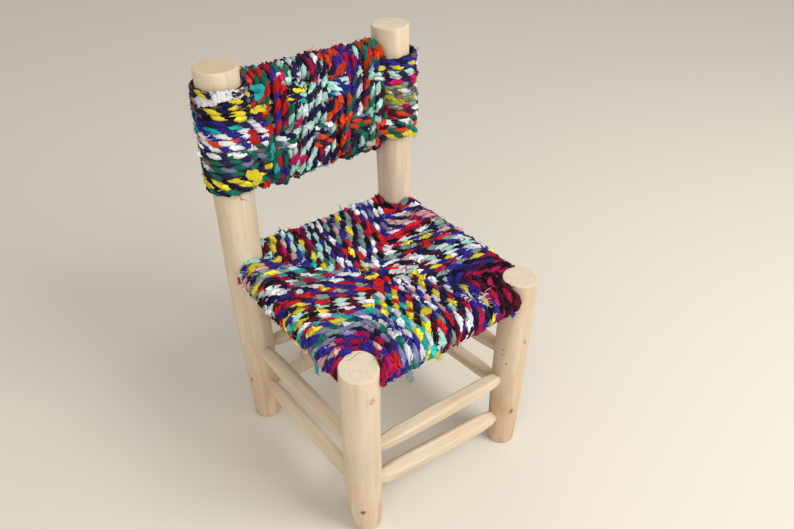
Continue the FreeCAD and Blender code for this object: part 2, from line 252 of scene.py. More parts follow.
# Rags in the rows on each post, with the height that each mix reaches.
LEFT_WRAP_MIXES = (
    (414, "green | navy plum"),
    (431, "yellow | plum navy"),
    (439, "green | plum taupe"),
    (447, "white lavender | green"),
    (455, "green | plum taupe"),
    (463, "white | plum green"),
    (471, "white | blue"),
    (479, "white | orange"),
    (487, "white | blue"),
    (494, "white | blue plum"),
    (502, "teal | blue plum"),
    (510, "yellow teal blue | plum navy"),
    (518, "yellow taupe | blue black"),
    (526, "yellow blue taupe | navy plum"),
    (999, "yellow taupe | plum navy"),
)
RIGHT_WRAP_MIXES = (
    (414, "green yellow | green navy"),
    (421, "orange | green"),
    (428, "grey green | plum navy"),
    (436, "grey white | green navy"),
    (444, "orange | lavender plum"),
    (452, "white red | maroon"),
    (460, "white crimson | crimson grey"),
    (468, "lime white | taupe"),
    (476, "white grey | lime taupe"),
    (484, "lime | plum grey"),
    (491, "magenta | plum"),
    (498, "white magenta | plum"),
    (505, "white mint | plum"),
    (512, "yellow mint | blue"),
    (999, "blue | taupe navy"),
)
PANEL_ROW_MIXES = (
    (440, "green orange | navy plum"),
    (470, "white lavender orange | navy green"),
    (500, "magenta white teal | blue plum"),
    (999, "yellow mint white | navy blue"),
)

# Rags in each upright, from left to right.
UPRIGHT_MIXES = (
    "orange | taupe blue",
    "red | green teal",
    "teal red | green",
    "red | green blue",
    "red green | blue maroon",
    "mint | magenta green",
    "mint white | magenta green",
    "white mint | plum navy",
    "mint | plum navy",
    "mint crimson | plum",
    "mint white | navy plum",
    "orange mint | navy plum",
    "orange | plum navy",
    "orange | blue plum",
    "crimson orange | green blue",
    "green crimson | blue plum",
    "mint white | plum",
    "mint orange | plum green",
    "mint | green plum",
    "orange mint | plum green",
    "orange green | maroon green",
)
# Rags at the top of the uprights on the right: from which upright, and above what height.
TOP_RIGHT_MIX = "orange red | green taupe"
TOP_RIGHT_FROM = 16
TOP_RIGHT_ABOVE = 524

# How much painted light the rags get: the seat, the rows and the rag ends are painted lit, and the uprights
# are painted in shade.
PAINTED_LIT_RAG = 1.45
PAINTED_SHADE_RAG = 0.92

# Rag ends: from, to, width, colour and the way that the flat side faces. Patches lie on the rope, tails hang.
UP, AHEAD, LEFTWARD = (0, 0, 1), (0, -1, 0), (-1, 0, 0)
SEAT_PATCHES = (
    ((12, -12, 283), (31, -25, 286), 11, "white", UP),
    ((17, -26, 285), (22, -45, 286), 9, "white", UP),
    ((-17, -117, 298), (-4, -119, 298), 13, "yellow", UP),
    ((44, -128, 297), (50, -146, 297), 9, "white", UP),
    ((-134, 84, 302), (-147, 80, 303), 6, "yellow", UP),
    ((-6, 24, 284), (6, 8, 283), 9, "white", UP),
    ((116, 90, 299), (131, 97, 304), 9, "grey", UP),
    ((-62, 136, 298), (-60, 146, 301), 9, "blue", UP),
    ((54, 136, 295), (58, 143, 297), 7, "mint", UP),
    ((57, -116, 297), (50, -138, 298), 3, "white", UP),
    ((49, -142, 298), (60, -155, 297), 3, "white", UP),
    ((85, -146, 297), (66, -139, 298), 3, "white", UP),
    ((67, -140, 298), (46, -143, 298), 3, "white", UP),
)
SEAT_TAILS = (
    ((-72, -162, 272), (-71, -165, 250), 9, "grey", AHEAD),
    ((-26, -162, 280), (-30, -165, 264), 6, "yellow", AHEAD),
    ((95, -162, 272), (101, -164, 260), 7, "blue", AHEAD),
    ((-150, -84, 268), (-153, -86, 252), 8, "teal", LEFTWARD),
    ((-150, -52, 270), (-153, -54, 257), 8, "pink", LEFTWARD),
)
BACK_PATCHES = (
    ((-120, 92, 436), (-107, 92, 418), 16, "yellow", AHEAD),
    ((-101, 97, 508), (-83, 97, 506), 9, "yellow", AHEAD),
    ((-94, 101, 536), (-91, 100, 520), 12, "teal", AHEAD),
    ((-106, 95, 486), (-99, 95, 464), 12, "red", AHEAD),
    ((-107, 101, 535), (-133, 95, 538), 11, "white", AHEAD),
    ((-128, 95, 538), (-149, 101, 537), 13, "white", (-0.4, -0.85, 0.3)),
    ((-144, 98, 536), (-161, 122, 531), 17, "white", (-0.75, -0.6, 0.3)),
    ((152, 108, 510), (163, 120, 515), 9, "blue", AHEAD),
)
BACK_TAILS = (((150, 108, 404), (155, 110, 392), 7, "yellow", AHEAD),)
# Tufts of loose thread: place, count, length, colour and the way they lean.
SEAT_TUFTS = (
    ((22, -34, 286), 12, 14, "white", (0.5, -0.6, 0.3)),
    ((-10, 11, 283), 7, 20, "yellow", (-0.5, 0.3, 0.3)),
    ((-146, 80, 302), 9, 12, "yellow", (-0.5, -0.5, 0.1)),
    ((57, -143, 298), 7, 22, "white", (0.8, -0.3, 0.1)),
    ((-28, -163, 272), 8, 12, "yellow", (0.1, -0.4, -0.5)),
    ((-150, 30, 268), 6, 20, "red", (-0.3, -0.3, -0.8)),
    ((-71, -164, 258), 6, 10, "grey", (0.0, -0.3, -0.8)),
    ((100, 20, 295), 7, 13, "white", (0.4, 0.4, 0.2)),
    ((108, 60, 296), 7, 13, "pink", (0.5, 0.1, 0.3)),
    ((-90, 118, 299), 7, 12, "mint", (-0.2, 0.6, 0.4)),
    ((40, 134, 296), 8, 13, "grey", (0.1, 0.6, 0.3)),
    ((-100, -145, 296), 7, 13, "pink", (-0.3, -0.4, 0.3)),
    ((98, -146, 295), 8, 13, "crimson", (0.3, -0.5, 0.2)),
)
BACK_TUFTS = (
    ((-112, 91, 426), 12, 12, "yellow", (0.4, -0.3, -0.6)),
    ((-137, 95, 409), 3, 22, "red", (0.3, -0.1, -0.9)),
    ((-158, 116, 531), 12, 9, "white", (-0.7, -0.4, 0.1)),
    ((-88, 97, 507), 7, 10, "yellow", (0.7, -0.3, 0.2)),
    ((70, 94, 520), 7, 11, "green", (0.3, -0.4, 0.5)),
    ((-60, 96, 468), 6, 11, "white", (0.2, -0.4, 0.3)),
    ((98, 96, 470), 6, 13, "orange", (0.4, -0.4, 0.4)),
    ((10, 120, 541), 8, 9, "orange", (0.1, -0.2, 0.9)),
    ((-70, 118, 542), 8, 9, "red", (-0.1, -0.2, 0.9)),
)
# Loose threads: points on each, length from end to end at most, and thickness at the root and the tip.
THREAD_STEPS = 9
THREAD_LONGEST = 23.0
THREAD_RADIUS = 0.28
THREAD_TIP = 0.14
RAG_END_THREADS = 7

# Casts in the peeled wood: brown blotches, pink and green tinges, shaved places and grey on the sawn end.
BLOTCH = (0.55, 0.43, 0.31, 1.0)
PINK_CAST = (0.68, 0.49, 0.37, 1.0)
GREEN_CAST = (0.56, 0.54, 0.44, 1.0)
SHAVED = (0.78, 0.66, 0.51, 1.0)
WEATHERED = (0.62, 0.55, 0.45, 1.0)
RING_PITCH = 0.0038

# Stage: lamps with their places, sizes and powers, what they face, and the camera.
LAMPS = (
    ("key", (0.9, -1.6, 1.8), 1.2, 43.0),
    ("fill", (-1.5, -1.3, 1.2), 1.6, 12.0),
)
LIT_PLACE = Vector((0, 0, 0.3))
FLOOR_REACH = 30
CAMERA_PLACE = Vector((-0.4555, -0.6312, 0.8741))
CAMERA_AIM = Vector((0.03181, -0.00551, 0.28309))
CAMERA_LENS = 32.77
CAMERA_SENSOR = 36.0


def from_hex(code):
    """A colour as Blender keeps it, from its six hex digits."""
    parts = [int(code[at : at + 2], 16) / 255 for at in (0, 2, 4)]
    return tuple(c / 12.92 if c <= 0.04045 else ((c + 0.055) / 1.055) ** 2.4 for c in parts)


def dye(label, code, what="rags"):
    return bpy.props.FloatVectorProperty(
        name=label,
        description=f"Colour of the {label.lower()} {what}",
        subtype="COLOR",
        size=3,
        min=0,
        max=1,
        default=from_hex(code),
    )


def length(label, words, default):
    return bpy.props.FloatProperty(
        name=label, description=words, subtype="DISTANCE", unit="LENGTH", min=0, default=default
    )


class RagDyes(bpy.types.PropertyGroup):
    """The colours of the rag strips."""

    blue: dye("Royal blue", "332a8f")
    navy: dye("Navy", "1c1840")
    crimson: dye("Crimson", "ab1247")
    magenta: dye("Magenta", "cf1a66")
    red: dye("Red", "d12225")
    orange: dye("Orange", "ea481f")
    yellow: dye("Yellow", "f9e339")
    lime: dye("Lime", "b9c23a")
    white: dye("White", "f5f9ff")
    mint: dye("Mint", "b9ebdd")
    teal: dye("Teal", "27b9b4")
    green: dye("Green", "1f705b")
    maroon: dye("Maroon", "520d28")
    plum: dye("Plum", "35234b")
    lavender: dye("Lavender", "8d88b2")
    grey: dye("Grey green", "8aa39f")
    pink: dye("Pink", "e9b2ac")
    taupe: dye("Taupe", "7b685c")
    black: dye("Black", "111015")


class RopeSizes(bpy.types.PropertyGroup):
    """The rope's make."""

    seat_across: length("Seat rope", "Width of the seat's rope", 0.0110)
    back_across: length("Back rope", "Width of the back's rope", 0.0107)
    lay: length("Seat lay", "Seat rope length in which a ply goes once round", 0.031)
    back_lay: length("Back lay", "Back rope length in which a ply goes once round", 0.026)
    step: length("Seat step", "Distance between the rings of a ply in the seat", 0.0024)
    back_step: length("Back step", "Distance between the rings of a ply in the back", 0.0030)
    crumple: length("Crumple", "Height of the folds in a ply", 0.0014)
    wander: length("Seat wander", "How far the seat's rope strays from its line", 0.0007)
    back_wander: length("Back wander", "How far the back's rope strays from its line", 0.0014)
    fray_length: length("Fray", "Longest of the small loose threads", 0.009)
    fray_density: bpy.props.FloatProperty(
        name="Fray density", description="Loose threads on a square metre of rag", min=0, default=16000
    )
    flake_length: length("Flakes", "Longest of the torn rag edges", 0.013)
    flake_density: bpy.props.FloatProperty(
        name="Flake density", description="Torn edges on a square metre of rag", min=0, default=15000
    )


class WoodLooks(bpy.types.PropertyGroup):
    """The peeled wood's colours and unevenness."""

    pale: dye("Pale", "d4c1a6", "wood")
    warm: dye("Warm", "c4a680", "wood")
    end: dye("Sawn", "d9cbb4", "ends")
    ring: dye("Growth", "9c7b57", "rings")
    knot: dye("Dark", "6a4128", "knots and cracks")
    foot: dye("Browner", "b98d66", "wood near a foot")
    unevenness: length("Unevenness", "How far a peeled pole strays from round", 0.0007)


class Wire:
    """A socket in a node tree. Arithmetic on wires adds Math nodes."""

    def __init__(self, board, socket):
        self.board = board
        self.socket = socket

    def math(self, operation, *others):
        return self.board.math(operation, self, *others)

    def __add__(self, other):
        return self.math("ADD", other)

    def __radd__(self, other):
        return self.board.math("ADD", other, self)

    def __sub__(self, other):
        return self.math("SUBTRACT", other)

    def __rsub__(self, other):
        return self.board.math("SUBTRACT", other, self)

    def __mul__(self, other):
        return self.math("MULTIPLY", other)

    def __truediv__(self, other):
        return self.math("DIVIDE", other)

    def __pow__(self, other):
        return self.math("POWER", other)

    def __lt__(self, other):
        return self.math("LESS_THAN", other)

    def __gt__(self, other):
        return self.math("GREATER_THAN", other)

    def vector(self, operation, *values, out="Vector"):
        return self.board.add(
            "ShaderNodeVectorMath", {"operation": operation}, dict(enumerate((self, *values))), out
        )

    def scaled(self, size):
        """A vector times a number, or times a triple of numbers."""
        if isinstance(size, tuple):
            return self.vector("MULTIPLY", size)
        return self.board.add("ShaderNodeVectorMath", {"operation": "SCALE"}, {0: self, 3: size})

    def moved(self, by):
        return self.vector("ADD", by)

    def part(self, axis):
        return self.board.add("ShaderNodeSeparateXYZ", {}, {0: self}, axis)

    def clear_step(self, low, high):
        """0 below low and 1 above high, with a smooth rise between."""
        return self.board.add(
            "ShaderNodeMapRange",
            {"interpolation_type": "SMOOTHSTEP"},
            {"Value": self, "From Min": low, "From Max": high},
        )

    def output(self, name):
        return Wire(self.board, self.socket.node.outputs[name])


class Board:
    """A node tree being wired."""

    def __init__(self, tree):
        self.tree = tree

    def add(self, kind, settings=None, inputs=None, out=0):
        """One node: its settings are set first, then its sockets get values or wires."""
        node = self.tree.nodes.new(kind)
        for name, value in (settings or {}).items():
            if name == "captures":
                for label, form in value:
                    node.capture_items.new(form, label)
            else:
                setattr(node, name, value)
        for key, value in (inputs or {}).items():
            for single in value if isinstance(value, list) else [value]:
                if isinstance(single, Wire):
                    self.tree.links.new(single.socket, node.inputs[key])
                else:
                    node.inputs[key].default_value = single
        return Wire(self, node.outputs[out]) if len(node.outputs) else node

    def math(self, operation, *values):
        return self.add("ShaderNodeMath", {"operation": operation}, dict(enumerate(values)))

    def noise(self, vector, scale, detail=2.0, roughness=0.5):
        return self.add(
            "ShaderNodeTexNoise",
            {"noise_dimensions": "3D"},
            {"Vector": vector, "Scale": scale, "Detail": detail, "Roughness": roughness},
        )

    def blend(self, share, first, second, way="MIX"):
        """One colour laid over another."""
        return self.add(
            "ShaderNodeMix", {"data_type": "RGBA", "blend_type": way}, {0: share, 6: first, 7: second}, 2
        )

    def attribute(self, label, out):
        """What a mesh keeps under a name, in a material."""
        return self.add("ShaderNodeAttribute", {"attribute_name": label}, {}, out)

    def named(self, label, form="FLOAT"):
        """What a geometry keeps under a name."""
        return self.add("GeometryNodeInputNamedAttribute", {"data_type": form}, {"Name": label})

    def store(self, geometry, label, form, value):
        """Keep a value under a name on each point of a geometry."""
        return self.add(
            "GeometryNodeStoreNamedAttribute",
            {"data_type": form, "domain": "POINT"},
            {"Geometry": geometry, "Name": label, "Value": value},
        )

    def capture(self, geometry, label, value):
        """Hold a vector as it is now, for use after the geometry changes."""
        return self.add(
            "GeometryNodeCaptureAttribute",
            {"captures": ((label, "VECTOR"),)},
            {"Geometry": geometry, 1: value},
        )

    def spot(self):
        return self.add("GeometryNodeInputPosition")

    def shifted(self, geometry, **places):
        return self.add("GeometryNodeSetPosition", {}, {"Geometry": geometry, **places})

    def circle(self, sides, radius):
        return self.add("GeometryNodeCurvePrimitiveCircle", {}, {"Resolution": sides, "Radius": radius})

    def sweep(self, curve, profile, scale=1.0):
        return self.add(
            "GeometryNodeCurveToMesh",
            {},
            {"Curve": curve, "Profile Curve": profile, "Scale": scale, "Fill Caps": True},
        )

    def join(self, shapes):
        return self.add("GeometryNodeJoinGeometry", {}, {"Geometry": shapes})

    def smooth(self, geometry):
        return self.add("GeometryNodeSetShadeSmooth", {}, {"Geometry": geometry})

    def finish(self, geometry, material):
        """Make the instances real, put the material on and end the tree."""
        whole = self.add("GeometryNodeRealizeInstances", {}, {"Geometry": geometry})
        done = self.add("GeometryNodeSetMaterial", {}, {"Geometry": whole, "Material": material})
        self.add("NodeGroupOutput", {}, {"Made": done})


def with_alpha(colour):
    return (*colour[:3], 1.0)


def start_material(name):
    """An emptied material's board, and the material."""
    material = bpy.data.materials.new(name)
    material.use_nodes = True
    material.node_tree.nodes.clear()
    return material, Board(material.node_tree)


def finish_material(board, constants, varying, height, bump, reach):
    """Put the shader on: constants on its own sockets, varying wires, and a bump."""
    normal = board.add("ShaderNodeBump", {}, {"Strength": bump, "Distance": reach, "Height": height})
    surface = board.add("ShaderNodeBsdfPrincipled", {}, {**constants, **varying, "Normal": normal})
    board.add("ShaderNodeOutputMaterial", {}, {"Surface": surface})


def rag_material(name, lift):
    """Twisted cotton rag: strips torn ragged and creased along the ply, with painted shade and highlights on
    the folds and painted shade in the grooves.
    """
    material, board = start_material(name)
    colour, under = board.attribute("dye", "Color"), board.attribute("under", "Color")
    lay, rise = board.attribute("lay", "Vector"), board.attribute("rise", "Fac")
    along = lay.scaled((1.0, 1.0, 0.25))
    folds = board.noise(along, 0.34, 2.0, 0.55)
    creases = board.noise(along.scaled((1.0, 1.0, 1.7)), 0.9, 3.0, 0.65)
    cloth = board.noise(lay.scaled((1.0, 1.0, 0.7)), 3.2, 2.0, 0.6)
    tears = board.noise(lay.scaled((1.0, 1.0, 0.5)).moved((7.0, 3.0, 0.0)), 0.42, 3.0, 0.7)
    torn = (rise + (tears - 0.5) * 2.4 + (creases - 0.5) * 0.6).clear_step(0.12, 0.2)
    rag = board.blend(torn, under, colour)
    # Painted shade and highlights on the folds and creases, with the cloth's own speckle.
    shade = folds.clear_step(0.32, 0.64) * 0.32 + creases.clear_step(0.32, 0.66) * 0.34 + cloth * 0.2 + 0.5
    # Painted shade: darker where the ply sinks into the groove between plies.
    painted_groove_shade = rise.clear_step(-0.2, 0.45) * 0.92 + 0.08
    # The lift scales the painted light. Above 1 the ridges are lifted to full colour; below 1 the whole rag
    # is painted in shade.
    painted_light_tone = (shade * painted_groove_shade * lift).math("MINIMUM", 1.0)
    grey = board.add("ShaderNodeCombineColor", {}, {0: painted_light_tone, 1: painted_light_tone, 2: painted_light_tone})
    rag_with_painted_shade = board.blend(1.0, rag, grey, "MULTIPLY")
    rough = 0.78 + cloth * 0.2
    finish_material(
        board,
        {"Specular IOR Level": 0.06, "Sheen Weight": 0.03, "Sheen Roughness": 0.6},
        {"Base Color": rag_with_painted_shade, "Roughness": rough},
        folds * 1.3 + creases * 1.1 + tears * 0.6 + cloth * 0.3,
        1.0,
        0.003,
    )
    return material


def knotted(board, looks, place, drift, knots, face, dents):
    """Lay knots over a wood's colour and height: a dark rim, a middle of its own depth and a warm halo."""
    for (x, y, z), across, stretch, depth in knots:
        away = place.vector("SUBTRACT", (x * MM, y * MM, z * MM)).scaled((1.0, 1.0, 1.0 / stretch))
        away = away.moved(drift.scaled(0.0022)).vector("LENGTH", out="Value")
        whole = 1.0 - away.clear_step(across * 0.7 * MM, across * MM)
        middle = 1.0 - away.clear_step(across * 0.3 * MM, across * 0.75 * MM)
        halo = 1.0 - away.clear_step(across * MM, across * 2.6 * MM)
        face = board.blend(halo * 0.34, face, with_alpha(looks.warm))
        face = board.blend((whole - middle) * 0.6 + middle * depth, face, with_alpha(looks.knot))
        dents = dents - whole * 0.5
    return face, dents


def cracked(board, looks, place, drift, crack, face, dents):
    """Lay a crack over a wood's colour and height, along the points that it runs through."""
    for begin, finish in zip(crack, crack[1:]):
        start = Vector(begin) * MM
        way = Vector(finish) * MM - start
        arm = place.moved(drift.scaled(0.0016)).vector("SUBTRACT", tuple(start))
        share = arm.vector("DOT_PRODUCT", tuple(way), out="Value") / way.length_squared
        share = share.math("MINIMUM", 1.0).math("MAXIMUM", 0.0)
        run = board.add("ShaderNodeVectorMath", {"operation": "SCALE"}, {0: tuple(way), 3: share})
        gap = arm.vector("SUBTRACT", run).scaled((1.0, 1.0, 0.3)).vector("LENGTH", out="Value")
        split = 1.0 - gap.clear_step(0.0002, 0.0007)
        face = board.blend(split * 0.8, face, with_alpha(looks.knot))
        dents = dents - split * 0.8
    return face, dents


def wood_material(name, looks, pith, shift, warmth=0.0, blush=0.0, worn=0.0, knots=(), crack=()):
    """Peeled, sanded wood: grain along the pole, growth rings on the sawn end, knots and cracks."""
    material, board = start_material(name)
    grain = board.attribute("grain", "Vector").moved((0, 0, shift))
    sawn = board.attribute("sawn", "Fac")
    place = board.add("ShaderNodeTexCoord", {}, {}, "Object")
    drift = board.noise(grain.scaled((22.0, 22.0, 3.0)), 1.0, 2.0).output("Color").moved((-0.5, -0.5, -0.5))
    core = grain.moved(drift.scaled(0.011)).vector("SUBTRACT", (pith[0] * MM, pith[1] * MM, 0.0))
    core = core.scaled((1.0, 1.0, 0.0))
    radius = core.vector("LENGTH", out="Value")
    years = board.noise(core, 120.0, 1.0)
    arcs = board.noise(core.moved((shift, 0.0, 0.0)), 95.0, 2.0)
    yearly = radius * (FULL_TURN / RING_PITCH) + years * 2.6
    ring_line = (yearly.math("SINE") * 0.5 + 0.5) ** 14 * arcs.clear_step(0.46, 0.62)
    fibre = board.noise(grain.scaled((620.0, 620.0, 16.0)), 1.0, 3.0, 0.62)
    streak = board.noise(grain.scaled((120.0, 120.0, 5.0)), 1.0, 2.0)
    blotch = board.noise(grain.scaled((26.0, 26.0, 13.0)), 1.0, 3.0)
    cast = board.noise(grain.moved((4.0, 0.0, 0.0)).scaled((36.0, 36.0, 24.0)), 1.0, 3.0)
    shaved = board.noise(grain.moved((0.0, 7.0, 0.0)).scaled((75.0, 75.0, 9.0)), 1.0, 1.0)
    low = 1.0 - grain.part("Z").clear_step(shift, shift + 0.2)
    warm = streak.clear_step(0.42, 0.74) * 0.3 + warmth
    side = board.blend(warm, with_alpha(looks.pale), with_alpha(looks.warm))
    for share, tint in (
        (blotch.clear_step(0.5, 0.72) * 0.42, BLOTCH),
        (cast.clear_step(0.5, 0.68) * 0.42, PINK_CAST),
        ((1.0 - cast.clear_step(0.32, 0.5)) * 0.36, GREEN_CAST),
        (low * (blotch.clear_step(0.3, 0.6) * 0.5 + 0.5) * blush, with_alpha(looks.foot)),
        (shaved.clear_step(0.46, 0.62) * 0.32, SHAVED),
        ((fibre - 0.5).clear_step(0.02, 0.2) * 0.24, with_alpha(looks.ring)),
    ):
        side = board.blend(share, side, tint)
    angle = core.part("Y").math("ARCTAN2", core.part("X"))
    ray = (angle * 3.0 + years * 1.4).math("SINE")
    check = (ray - 0.95).clear_step(0.0, 0.03) * (1.0 - radius.clear_step(0.0015, 0.005))
    end = board.blend(worn, with_alpha(looks.end), with_alpha(looks.warm))
    for share, tint in (
        (ring_line * 0.5, with_alpha(looks.ring)),
        (streak.clear_step(0.4, 0.7) * 0.2, with_alpha(looks.warm)),
        (blotch.clear_step(0.5, 0.7) * 0.25, WEATHERED),
        (check * 0.75, with_alpha(looks.knot)),
    ):
        end = board.blend(share, end, tint)
    face = board.blend(sawn, side, end)
    dents = fibre * 0.14 + streak * 0.16 + shaved * 0.3 + blotch * 0.6
    face, dents = knotted(board, looks, place, drift, knots, face, dents)
    face, dents = cracked(board, looks, place, drift, crack, face, dents)
    finish_material(
        board,
        {"Specular IOR Level": 0.28},
        {"Base Color": face, "Roughness": 0.58 + fibre * 0.18 + sawn * 0.1},
        dents + sawn * ring_line * -0.3,
        0.35,
        0.0009,
    )
    return material


def pole_axis(pole, height):
    """Where a pole's axis is at a height, in millimetres."""
    (sign_x, sign_y), (foot_x, foot_y), *_ = POLES[pole]
    spread = 1 - height / RAIL_HEIGHT
    corner_y = SEAT_FRONT if sign_y < 0 else SEAT_REAR
    return Vector((sign_x * SEAT_HALF_WIDTH + foot_x * spread, corner_y + foot_y * spread, height))


def lathe(name, start, end, profile, sides, unevenness, seed, bow=0.0, trim=None, section=None):
    """A round of stations along a line, peeled slightly out of true, with its grain kept as an attribute."""
    axis = (end - start).normalized()
    across = axis.orthogonal().normalized() if abs(axis.z) < 0.9 else Vector((1, 0, 0))
    across = (across - axis * across.dot(axis)).normalized()
    other = axis.cross(across)
    whole = (end - start).length
    points, grain, sawn, faces = [], [], [], []
    for distance, radius, end_share in profile:
        for side in range(sides):
            turn = FULL_TURN * side / sides
            ca, sa = math.cos(turn), math.sin(turn)
            place = Vector((ca * 1.1 + seed, sa * 1.1, distance * 0.011))
            bump = noise.noise(place) + 0.45 * noise.noise(place * 2.7)
            reach = radius * (1 + unevenness * bump / 24.0) if radius > 1 else radius
            if section:
                reach *= section(turn, distance / whole)
            lean = bow * math.sin(math.pi * min(1.0, max(0.0, distance / whole))) ** 2
            spot = start + axis * distance + (across * ca + other * sa) * reach - Vector((lean, 0, 0))
            if trim:
                spot = trim(spot)
            points.append(spot)
            grain.append((ca * reach, sa * reach, distance))
            sawn.append(end_share)
    rows = len(profile)
    for row in range(rows - 1):
        low, high = row * sides, (row + 1) * sides
        for side in range(sides):
            after = (side + 1) % sides
            faces.append((low + side, low + after, high + after, high + side))
    faces.append(tuple(reversed(range(sides))))
    faces.append(tuple(range((rows - 1) * sides, rows * sides)))
    mesh = bpy.data.meshes.new(name)
    mesh.from_pydata([p * MM for p in points], [], faces)
    keep(mesh, "grain", "FLOAT_VECTOR", "vector", np.array(grain) * MM)
    keep(mesh, "sawn", "FLOAT", "value", sawn)
    mesh.polygons.foreach_set("use_smooth", [len(p.vertices) == 4 for p in mesh.polygons])
    mesh.update()
    return put_in_scene(name, mesh)


def put_in_scene(name, mesh):
    piece = bpy.data.objects.new(name, mesh)
    bpy.context.scene.collection.objects.link(piece)
    return piece


def stand_for(piece, slot, *nodes):
    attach(piece, "root")
    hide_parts(*nodes)


def pole_profile(height, top, foot, taper):
    """Stations up a pole: distance, radius, and whether the station is on the sawn end."""
    radius, foot_radius = top / 2, foot / 2
    swell = (radius - foot_radius) * 0.12
    heights = (0, taper / 2, taper, height - TOP_EASE)
    radii = (foot_radius, (foot_radius + radius - swell) / 2 + POLE_BELLY, radius - swell, radius)
    stations = [(0.0, foot_radius - 1.5, 0.6), (0.4, foot_radius - 0.4, 0.0)]
    for h in np.linspace(2.0, height - TOP_EASE, int(height / 5)):
        stations.append((float(h), float(np.interp(h, heights, radii)), 0.0))
    for turn in (18, 36, 54, 72, 90):
        lift = math.radians(turn)
        up = height - TOP_EASE + TOP_EASE * math.sin(lift)
        out = radius - TOP_EASE + TOP_EASE * math.cos(lift)
        stations.append((up, out, 0.0 if turn < 60 else 1.0))
    for share in (0.8, 0.6, 0.4, 0.2, 0.04):
        stations.append((height, (radius - TOP_EASE) * share, 1.0))
    return stations


def hewn_section(seed):
    """A stick's flat sides, left by a knife: how far they lie from the axis, against a round stick."""
    rng = random.Random(seed)
    flats = []
    for at in range(HEWN_FLATS):
        flats.append((at * FULL_TURN / HEWN_FLATS + rng.uniform(-0.35, 0.35), rng.uniform(0.97, 1.11)))
    lean = rng.uniform(-0.3, 0.3)

    def section(turn, share):
        reach = HEWN_WIDEST
        for at, (bearing, depth) in enumerate(flats):
            facing = math.cos(turn - bearing - lean * share)
            if facing > 0.3:
                wave = 0.035 * math.sin(share * 9.0 + at * 2.1)
                reach = min(reach, (depth + wave) / facing)
        return reach

    return section


def level_foot(spot):
    return Vector((spot.x, spot.y, max(0.0, spot.z)))


def hewn_heel(spot):
    """Bring what stands past the hewn flat of the front left foot back to it, and slope the sawn top."""
    outward = Vector((math.cos(HEEL_BEARING), math.sin(HEEL_BEARING), 0))
    foot = pole_axis("front_left_leg", 0)
    rounding = HEEL_ROUND * max(0.0, 1 - spot.z / HEEL_ROUND_HEIGHT) ** 2
    flat = POLES["front_left_leg"][3] / 2 - HEEL_DEPTH + HEEL_DEPTH / HEEL_HEIGHT * spot.z - rounding
    over = (spot - foot).dot(outward) - flat
    if over > 0 and spot.z < HEEL_REACH:
        return level_foot(spot - outward * over)
    share = max(0.0, spot.z - SLOPE_FROM) / SLOPE_RUN
    slope = (spot - pole_axis("front_left_leg", spot.z)).dot(SLOPE_WAY) * SLOPE_RISE
    return level_foot(spot + Vector((0, 0, (slope + SLOPE_LIFT) * min(1.0, share))))


class CHAIR_OT_poles(bpy.types.Operator):
    """Peel the two legs and two posts"""

    bl_idname = "rag_chair.poles"
    bl_label = "Legs and posts"

    def execute(self, context):
        looks = context.scene.chair_wood
        for number, (pole, sizes) in enumerate(POLES.items()):
            _, _, height, top, foot, taper = sizes
            start, end = pole_axis(pole, 0), pole_axis(pole, height)
            piece = lathe(
                "peeled_" + pole,
                start,
                end,
                pole_profile((end - start).length, top, foot, taper),
                POLE_SIDES,
                looks.unevenness / MM,
                number * 7.3,
                bow=POST_BOW if pole == "rear_left_post" else 0.0,
                trim=hewn_heel if pole == "front_left_leg" else level_foot,
            )
            material = wood_material(
                "wood_" + pole,
                looks,
                PITHS[number],
                number * 0.9,
                blush=FOOT_BLUSH[pole],
                warmth=0.35 if pole == "front_right_leg" else 0.06,
                worn=0.5 if pole == "rear_left_post" else 0.1,
                knots=KNOTS[pole],
                crack=CRACKS.get(pole, ()),
            )
            piece.data.materials.append(material)
            stand_for(piece, "peeled_wood", pole)
        return {"FINISHED"}


def stick_profile(whole, reach, across):
    """Stations along a whittled stick: blunt shoulders at the poles and a fuller middle."""
    radius = across / 2
    marks = (TENON_END, reach - 7, reach + 2, reach + STICK_TAPER, whole / 2)
    radii = (TENON_RADIUS, TENON_RADIUS, radius * 0.82, radius * 0.98, radius * 1.04)
    return [
        (float(d), float(np.interp(min(d, whole - d), marks, radii)), 0.0)
        for d in np.linspace(TENON_END, whole - TENON_END, int(whole / 4.0))
    ]


class CHAIR_OT_sticks(bpy.types.Operator):
    """Whittle the eight stretchers, and finish the rails under the rope"""

    bl_idname = "rag_chair.sticks"
    bl_label = "Stretchers and rails"

    def execute(self, context):
        looks = context.scene.chair_wood
        for number, (stick, (first, second, low, high, across)) in enumerate(STICKS.items()):
            start, end = pole_axis(first, low), pole_axis(second, high)
            widest = max(POLES[first][3], POLES[second][3])
            profile = stick_profile((end - start).length, widest / 2 + TENON_SHOW, across)
            piece = lathe(
                "whittled_" + stick,
                start,
                end,
                profile,
                STICK_SIDES,
                STICK_UNEVENNESS,
                40 + number * 5.1,
                section=hewn_section(60 + number),
            )
            piece.data.set_sharp_from_angle(angle=HEWN_EDGE)
            warmth = 0.2 if "front" in stick else 0.05
            piece.data.materials.append(
                wood_material("wood_" + stick, looks, (4.0, 1.0), 5.0 + number * 0.7, warmth=warmth)
            )
            stand_for(piece, "peeled_wood", stick)
        hidden = wood_material("wood_hidden_rails", looks, (0.0, 0.0), 0.0)
        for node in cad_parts:
            if "seat_rail" in node or "back_rail" in node:
                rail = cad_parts[node]
                rail.data.materials.clear()
                rail.data.materials.append(hidden)
        return {"FINISHED"}


def even(points, step):
    """The same line with points a step apart. What a point carries after its place goes along."""
    line = np.array(points, float)
    runs = np.linalg.norm(np.diff(line[:, :3], axis=0), axis=1)
    reach = np.concatenate(([0.0], np.cumsum(runs)))
    places = np.linspace(0, reach[-1], max(2, int(reach[-1] / step)))
    return np.stack([np.interp(places, reach, column) for column in line.T], axis=1)


